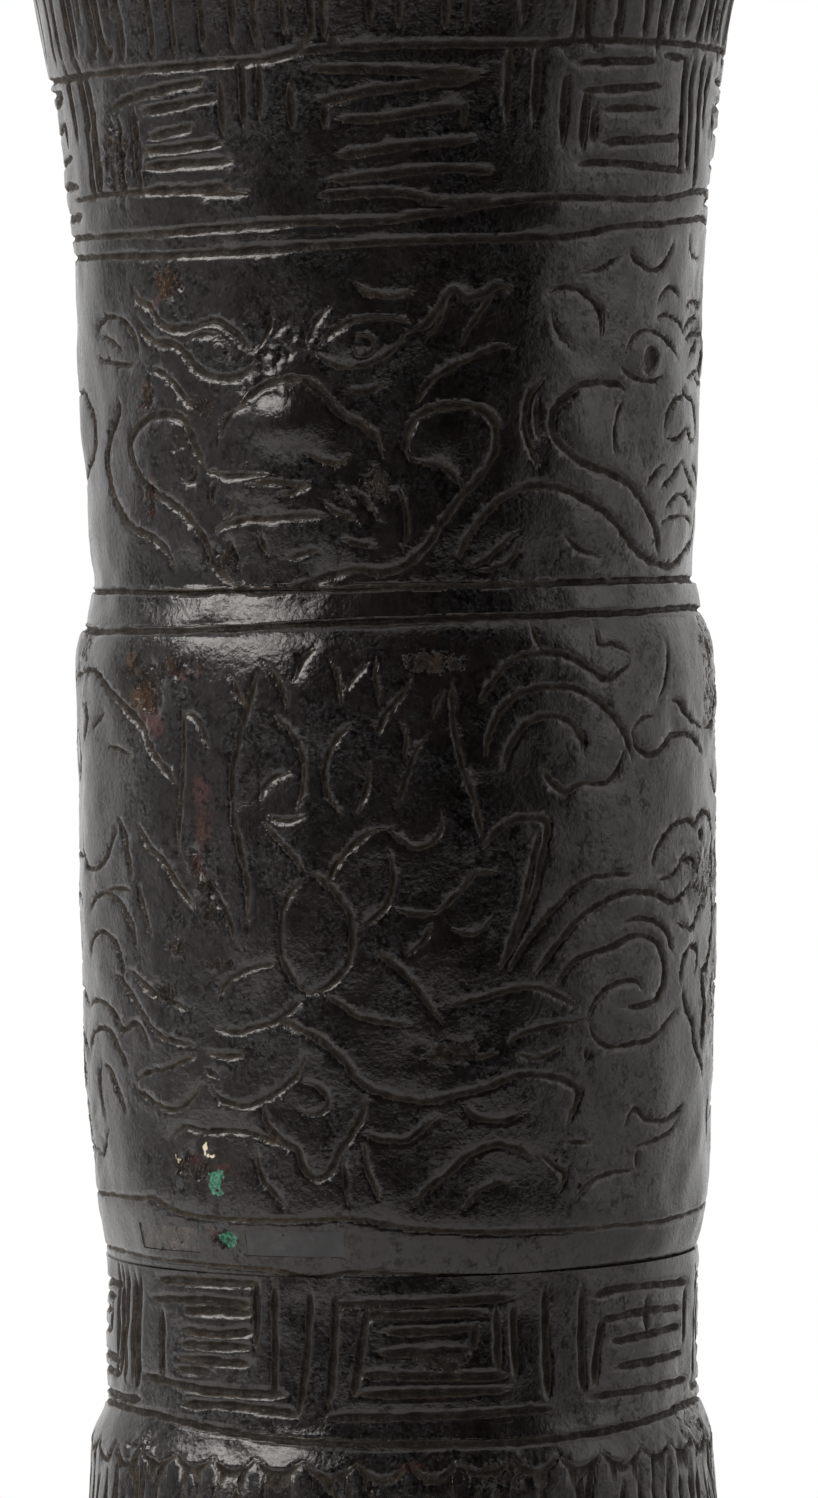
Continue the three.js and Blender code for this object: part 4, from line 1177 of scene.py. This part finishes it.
WHISKERS = [
    [(15, 183), (13.4, 181.6), (12.7, 179.5), (12.9, 177.5), (13.8, 175.6), (14.6, 174.6)],
    [(14.2, 181.6), (13.8, 179.4), (14.2, 177.6), (15.4, 176.8)],
    [(6, 166.2), (7, 168.5), (8.8, 170.6), (11, 172.2), (13.5, 173), (16, 172.9), (19, 172), (22, 170.6),
     (24, 169.2), (26, 167.6), (28.5, 166.4), (31.5, 165.7), (34.5, 165.5), (37.5, 166.5), (40, 167.3),
     (44, 167.8)],
    [(6.8, 165.6), (9, 166.5), (10.8, 168), (12.2, 168.9)],
    [(7.5, 165.2), (9.8, 165.6), (11.6, 166.5), (12.2, 168.5)],
    [(17, 169), (18.2, 167.6), (20, 166.9), (22.2, 166.5)],
    [(14.5, 190.2), (16.3, 191), (18.5, 190.8), (20.5, 189.6), (21.4, 188), (21.2, 186)],
    [(15.4, 189), (16.2, 187), (18.1, 185.2)],
    [(18.6, 192.4), (21, 192.7), (23, 193.6), (24.3, 194.1)],
    [(24.6, 195), (25.8, 193.6), (28, 192.8), (30, 193), (31.5, 194.2), (32.4, 195.8)],
    [(29.5, 189.6), (31, 190.8), (32.5, 191.3), (34.5, 190.3)],
    [(36.3, 196.7), (36.8, 195.3), (38.5, 194.3), (42, 194.2)],
    [(36, 189.2), (38, 190), (43, 190.1)],
    [(36.5, 186.3), (39, 187), (43, 187.3)],
    [(37, 182.8), (39, 183.3), (43, 183.8)],
]
LEFT_PUPIL = [(-18.3, 185.6), (-17.6, 186.6), (-16.4, 186.4), (-16, 185.4), (-16.8, 184.7), (-18, 184.9)]
SIDE_PUPIL, PUPIL_RADIUS, PUPIL_DEPTH = (28.8, 184.5), 1.2, 0.45
SIDE_MIDDLE = 36.2  # the masks at the sides are the same on the left and right of this
MASK_LONG_STROKE, MASK_LONG_WIDTH = 7, 0.42
MASK_SWELLINGS = [  # brows, cheeks, snout, lips and whiskers stand up a little
    (-10, 178.7, 4.8, 3.3, 0.9),
    (-13.5, 173, 4, 1.6, 0.4),
    (-19, 185.5, 4.5, 2, 0.2),
    (-3, 186, 4.5, 2, 0.4),
    (-24.5, 176, 3.6, 3.4, 0.5),
    (-21, 171, 2, 4, 0.35),
    (5, 176.5, 3.2, 4, 0.4),
    (28.5, 185, 4.5, 2.3, 0.4),
    (43.9, 185, 4.5, 2.3, 0.4),
    (36.2, 179, 6, 3.6, 0.6),
    (20, 178.5, 3.6, 3.4, 0.4),
    (52.4, 178.5, 3.6, 3.4, 0.4),
]

neck_board = Board(neck_base, NECK_TOP, neck_radius, seed=9)
for half in (0, TURN / 2):
    for stroke in FRONT_MASK + WHISKERS + SIDE_MASK:
        neck_board.line(stroke, MASK_LONG_WIDTH if len(stroke) > MASK_LONG_STROKE else LINE_WIDTH, shift=half)
    neck_board.line(LEFT_PUPIL, width=0.3, depth=0.14, shift=half)
    for stroke in SIDE_MASK:
        neck_board.line(stroke, mirror=SIDE_MIDDLE, shift=half)
    for s in (SIDE_PUPIL[0], 2 * SIDE_MIDDLE - SIDE_PUPIL[0]):
        neck_board.press(s + half, SIDE_PUPIL[1], PUPIL_RADIUS, PUPIL_DEPTH)
    neck_board.swell([(s + half, *oval) for s, *oval in MASK_SWELLINGS])

NECK_SCROLLS = {
    "left": [
        [(-34, 210.5), (-34, 200)],
        [(-32.6, 211), (-32.6, 200.3)],
        [(-28.2, 207.5), (-28.2, 200)],
        [(-25.8, 208), (-25.8, 200.3)],
        [(-15.5, 210), (-15.5, 205)],
        [(-29, 208), (-25.5, 209), (-17, 210)],
        [(-25, 207.5), (-15.8, 208.5)],
        [(-24, 205.2), (-18.5, 206)],
        [(-25, 204), (-15.5, 204.4)],
        [(-25, 202.6), (-15, 202.8)],
        [(-25, 200.4), (-15, 200.4)],
        [(-13.3, 211.8), (-13.3, 205.8)],
        [(-11.6, 211.6), (-11.6, 206.3)],
        [(-8.8, 209.8), (-8.8, 205.5)],
    ],
    "middle": [
        [(-7, 210.7), (8, 210.1)],
        [(-6.3, 207.8), (0, 208.8), (7.5, 209.7)],
        [(-5.8, 208), (-5.8, 205.5)],
        [(-4.5, 206), (0, 206.3), (6.4, 207.3)],
        [(6.6, 207.3), (6.6, 205.5)],
        [(-4.8, 202.8), (0, 203.5), (7.5, 204.2)],
        [(-5.5, 200.7), (0, 201.2), (5, 201.6), (9.5, 201.3)],
        [(-6.5, 199.4), (0, 199.5), (5, 198.6), (9.5, 198.7)],
        [(10.5, 212.5), (10.5, 205.8)],
        [(13.2, 212.8), (13.2, 205.8)],
    ],
    "right": [
        [(16.1, 210.3), (16.1, 204)],
        [(18.4, 208.7), (18.4, 203.5)],
        [(19.5, 207), (19.5, 204.3)],
        [(31.9, 212.5), (31.9, 202)],
        [(33.5, 212.5), (33.5, 202)],
        [(35.6, 212.8), (35.6, 200.5)],
        [(37.5, 212), (37.5, 206)],
        [(17, 211.3), (27, 211.8)],
        [(18, 208.8), (28, 209.5)],
        [(20.5, 207.2), (28, 207.5)],
        [(20.5, 204.2), (31.5, 205)],
        [(18, 202.1), (22, 202.4), (33, 201.9)],
        [(28, 212.3), (32, 212.2)],
    ],
}
MASK_FLOOR = [(-38, 163.8), (-20, 163.9), (0, 164), (20, 164.2), (38, 164.3)]
MASK_CEILING = [(-37, 194.8), (-20, 194.5), (0, 195.1), (17, 195.6), (23, 196.6), (30, 197), (42, 197.8)]
SCROLL_FLOOR = [(-40, 196.7), (-25, 196.5), (-10, 197), (0, 197.1), (14, 199), (28, 199.2), (40, 200.3)]
SCROLL_CEILING = [(-37, 211.3), (-20, 211.4), (-12, 211.6), (-5, 212.5), (12, 212.8), (20, 213.3)]
SCROLL_CEILING += [(40, 213.4)]
fret(neck_board, NECK_SCROLLS)
border(neck_board, NECK_SEAM, 0.36, 0.4)
border(neck_board, MASK_FLOOR, 0.36)
for points in (SCROLL_FLOOR, MASK_CEILING, SCROLL_CEILING):
    border(neck_board, points)
neck_board.line([(-40, 200.2), (-25, 200.4), (-13, 199.7)], run="level")
NECK_HATCH = {-39: 213, -37: 213, -34.3: 212.8, -33.3: 213.5, -26.3: 212.4, -22.4: 212, -19.8: 212.3}
NECK_HATCH |= {-16.8: 212.5, -13.8: 213, -11.7: 213, -9: 213.5, -6.5: 213.5, -4: 215, -1.6: 214.3, 0.9: 214.3}
NECK_HATCH |= {4.8: 214, 6.7: 214, 11.7: 214.8, 15.6: 214.3, 18.7: 213.8, 21.3: 213, 24.6: 213.7}
NECK_HATCH |= {26.8: 212.3, 28.7: 213.7, 31: 214.3, 33.5: 213.5, 34.8: 214, 36.3: 214, 38.3: 214, 41: 213.6}
NECK_HATCH |= {43.5: 214, 46: 213.5, 48.7: 214, 51.2: 213.8}
leaves(neck_board, 212.4, 286, [(s + half, z) for half in (0, TURN / 2) for s, z in NECK_HATCH.items()])
hoops(neck_board, (290, 291.8), 24)
neck_board.stain("cuprite", [(-24.6, 190, 0.9, 0.8), (-27.6, 180.5, 0.6, 0.6), (-26.5, 170.6, 0.6, 0.5)])
neck_board.stain("rust", [(-22.8, 191.6, 2.4, 1.9), (-26.6, 182.2, 1.2, 1.2), (-26, 173, 1, 1.8)], 0.85)
NECK_CORRODED = {  # how strongly, and where
    1: [(-23, 192, 2.6, 1.9), (-26.5, 181.5, 1.2, 1.4), (-19, 180.3, 1.6, 1), (-26.8, 172, 1, 2.2)],
    0.45: [(-10.5, 186, 2.4, 2.6), (-12, 181.5, 2.2, 1.2), (-21.5, 176.5, 2, 2.4), (-13, 174, 2.4, 1)],
    0.9: [(-1.4, 173, 1.6, 2.4), (-4.5, 172, 1.4, 1.2), (-17, 166.5, 2, 1.2), (-29, 203, 3, 4)],
}
for strength, ovals in NECK_CORRODED.items():
    neck_board.corrode(ovals, strength)
neck_board.age(44, 164, 292, smallest=(1.5, 1.5), largest=(5, 6))
neck_board.spot(8, 164, 290, red_size=(1.5, 1.2), green_size=(1.0, 1.1))

NECK_COLUMNS, CHASED_TOP, LIP_STEPS = 228, 216, 10
BEAD_ROW, CHASED_ROW, TRUMPET_ROW, INSIDE_SHARE = 0.45, 0.9, 1.9, 3  # the inside has a third of the rows
outer_rows = [*np.arange(neck_base + 0.2, FLARE_BASE, BEAD_ROW)]
outer_rows += [*np.arange(FLARE_BASE + 0.3, CHASED_TOP, CHASED_ROW)]
outer_rows += [*np.arange(CHASED_TOP + 1.5, NECK_TOP - 1, TRUMPET_ROW), NECK_TOP]
outside = np.array([(float(neck_radius(z)), z) for z in outer_rows])
slope = np.gradient(outside, axis=0)
slope /= np.hypot(*slope.T)[:, None]
wall = outside + np.stack([-slope[:, 1], slope[:, 0]], 1) * NECK_WALL
wall = wall[wall[:, 1] > FLARE_BASE + SPIGOT_BLEND][::INSIDE_SHARE]
lip_centre = (outside[-1] + wall[-1]) / 2
x, y = outside[-1] - lip_centre
lip = []
for turn in math.pi * np.arange(1, LIP_STEPS) / LIP_STEPS:
    r = lip_centre[0] + x * math.cos(turn) - y * math.sin(turn)
    lip.append((r, lip_centre[1] + x * math.sin(turn) + y * math.cos(turn)))
neck_outline = [(SPIGOT_BORE, SPIGOT_END), (SPIGOT_RADIUS, SPIGOT_END), (SPIGOT_RADIUS, neck_base)]
neck_outline += [(BEAD_RADIUS, neck_base), *map(tuple, outside), *lip, *map(tuple, wall[::-1])]
neck_outline += [(SPIGOT_BORE, FLARE_BASE)]
neck_ring = spun(neck_outline, NECK_COLUMNS)
chased("neck", neck_ring, neck_board, neck_base - SKIN_PAST, NECK_TOP - 1, "neck_casting", bronze)

# The neck solder: a second fillet of the same tin, run into the corner under the end of the neck's spigot. It
# is hidden inside the knop, and holds the neck.
fillet("upper_solder_fillet", "neck_solder", wall_up=False, seed=22)

# The room: a round of pale paper under the vase, white surroundings, a soft lamp high on the left and a
# weaker one on the right. Another on the left, which the bronze doesn't mirror, lights the dust in the lines.
# A curved card stands round the camera's side, unseen by the camera and mirrored by the vase. It is painted
# with light and shade: dark in its middle, for a painted dark reflection in the middle of the vase, and
# lighter than white near its ends, for painted light on the vase's sides.
PAPER_RADIUS, PAPER_DROP = 0.55, 0.0002
PAPER_DARK, PAPER_LIGHT = (0.80, 0.80, 0.79, 1), (0.84, 0.84, 0.83, 1)
paper = bmesh.new()
bmesh.ops.create_circle(paper, cap_ends=True, segments=96, radius=PAPER_RADIUS)
bmesh.ops.translate(paper, verts=paper.verts, vec=(0, 0, -PAPER_DROP))
paper_finish = Finish("white_paper")
paper_tone = paper_finish.blend(paper_finish.noise(scale=400, detail=4), PAPER_DARK, PAPER_LIGHT)
floor = shown("floor", meshed("paper", paper))
floor.data.materials.append(paper_finish.finish(Base_Color=paper_tone, Roughness=0.9))

AMBIENT = 0.4  # what the white surroundings light the vase with, against 1 as they are seen
scene.world = bpy.data.worlds.new("studio")
scene.world.use_nodes = True
sky = Finish(tree=scene.world.node_tree)
rays = sky.add("LightPath").outputs
seen = sky.combine("MAXIMUM", rays["Is Camera Ray"], rays["Is Glossy Ray"], rays["Is Transmission Ray"])
backdrop = sky.tree.nodes["Background"].inputs
sky.feed(backdrop["Strength"], sky.span(seen, AMBIENT, 1))
sky.feed(backdrop["Color"], (1, 1, 1, 1))
LAMP_AIM = 0.15  # the height that the lamps face


def lamp(name, azimuth, elevation, distance, size, power, mirrored=True):
    """A soft lamp that faces the knop, at degrees round from the camera's side, positive to the right."""
    data = bpy.data.lights.new(name, "AREA")
    data.shape = "RECTANGLE"
    data.size, data.size_y = size
    data.energy = power
    box = shown(name, data)
    box.visible_glossy = mirrored
    a, e = math.radians(azimuth), math.radians(elevation)
    out = Vector((math.sin(a) * math.cos(e), -math.cos(a) * math.cos(e), math.sin(e)))
    box.location = Vector((0, 0, LAMP_AIM)) + out * distance
    box.rotation_euler = out.to_track_quat("Z", "Y").to_euler()


lamp("left_softbox", azimuth=-66, elevation=26, distance=1.0, size=(0.95, 0.3), power=8)
lamp("right_softbox", azimuth=80, elevation=20, distance=1.1, size=(0.5, 0.8), power=1)
lamp("left_fill", azimuth=-80, elevation=35, distance=1.0, size=(0.8, 0.8), power=11, mirrored=False)

CARD_RADIUS, CARD_LOW, CARD_HIGH, CARD_PANELS = 1.3, -0.9, 1.5, 64
CARD_START, CARD_STOP = math.radians(-118), math.radians(106)  # round from the camera's side
# Painted light and shade: how light the card is, by its share across from left to right, past white near its
# ends.
CARD_LIGHT_AND_SHADE = [(0.0, 1.3), (0.008, 1.05), (0.05, 1.25), (0.13, 0.44), (0.235, 0.165), (0.5, 0.09)]
CARD_LIGHT_AND_SHADE += [(0.64, 0.035), (0.765, 0.012), (0.87, 0.09), (0.949, 0.75), (0.992, 1.1)]  # from left to right
card = bmesh.new()
ends = [card.verts.new((0, -CARD_RADIUS, z)) for z in (CARD_LOW, CARD_HIGH)]
rail = [card.edges.new(ends)]
bmesh.ops.rotate(card, verts=ends, matrix=Matrix.Rotation(CARD_START, 3, "Z"))
bmesh.ops.spin(card, geom=ends + rail, axis=(0, 0, 1), angle=CARD_STOP - CARD_START, steps=CARD_PANELS)
card_finish = Finish("light_and_shade_card")
across = card_finish.add("SeparateXYZ", Vector=card_finish.place).outputs["X"]
card_light_and_shade = card_finish.ramp(card_finish.span(across, 0, 1, -CARD_RADIUS, CARD_RADIUS), CARD_LIGHT_AND_SHADE)
flag = shown("light_and_shade_card", meshed("card", card))
flag.data.materials.append(card_finish.finish(Base_Color=card_light_and_shade, Roughness=0.95))
flag.visible_camera = False
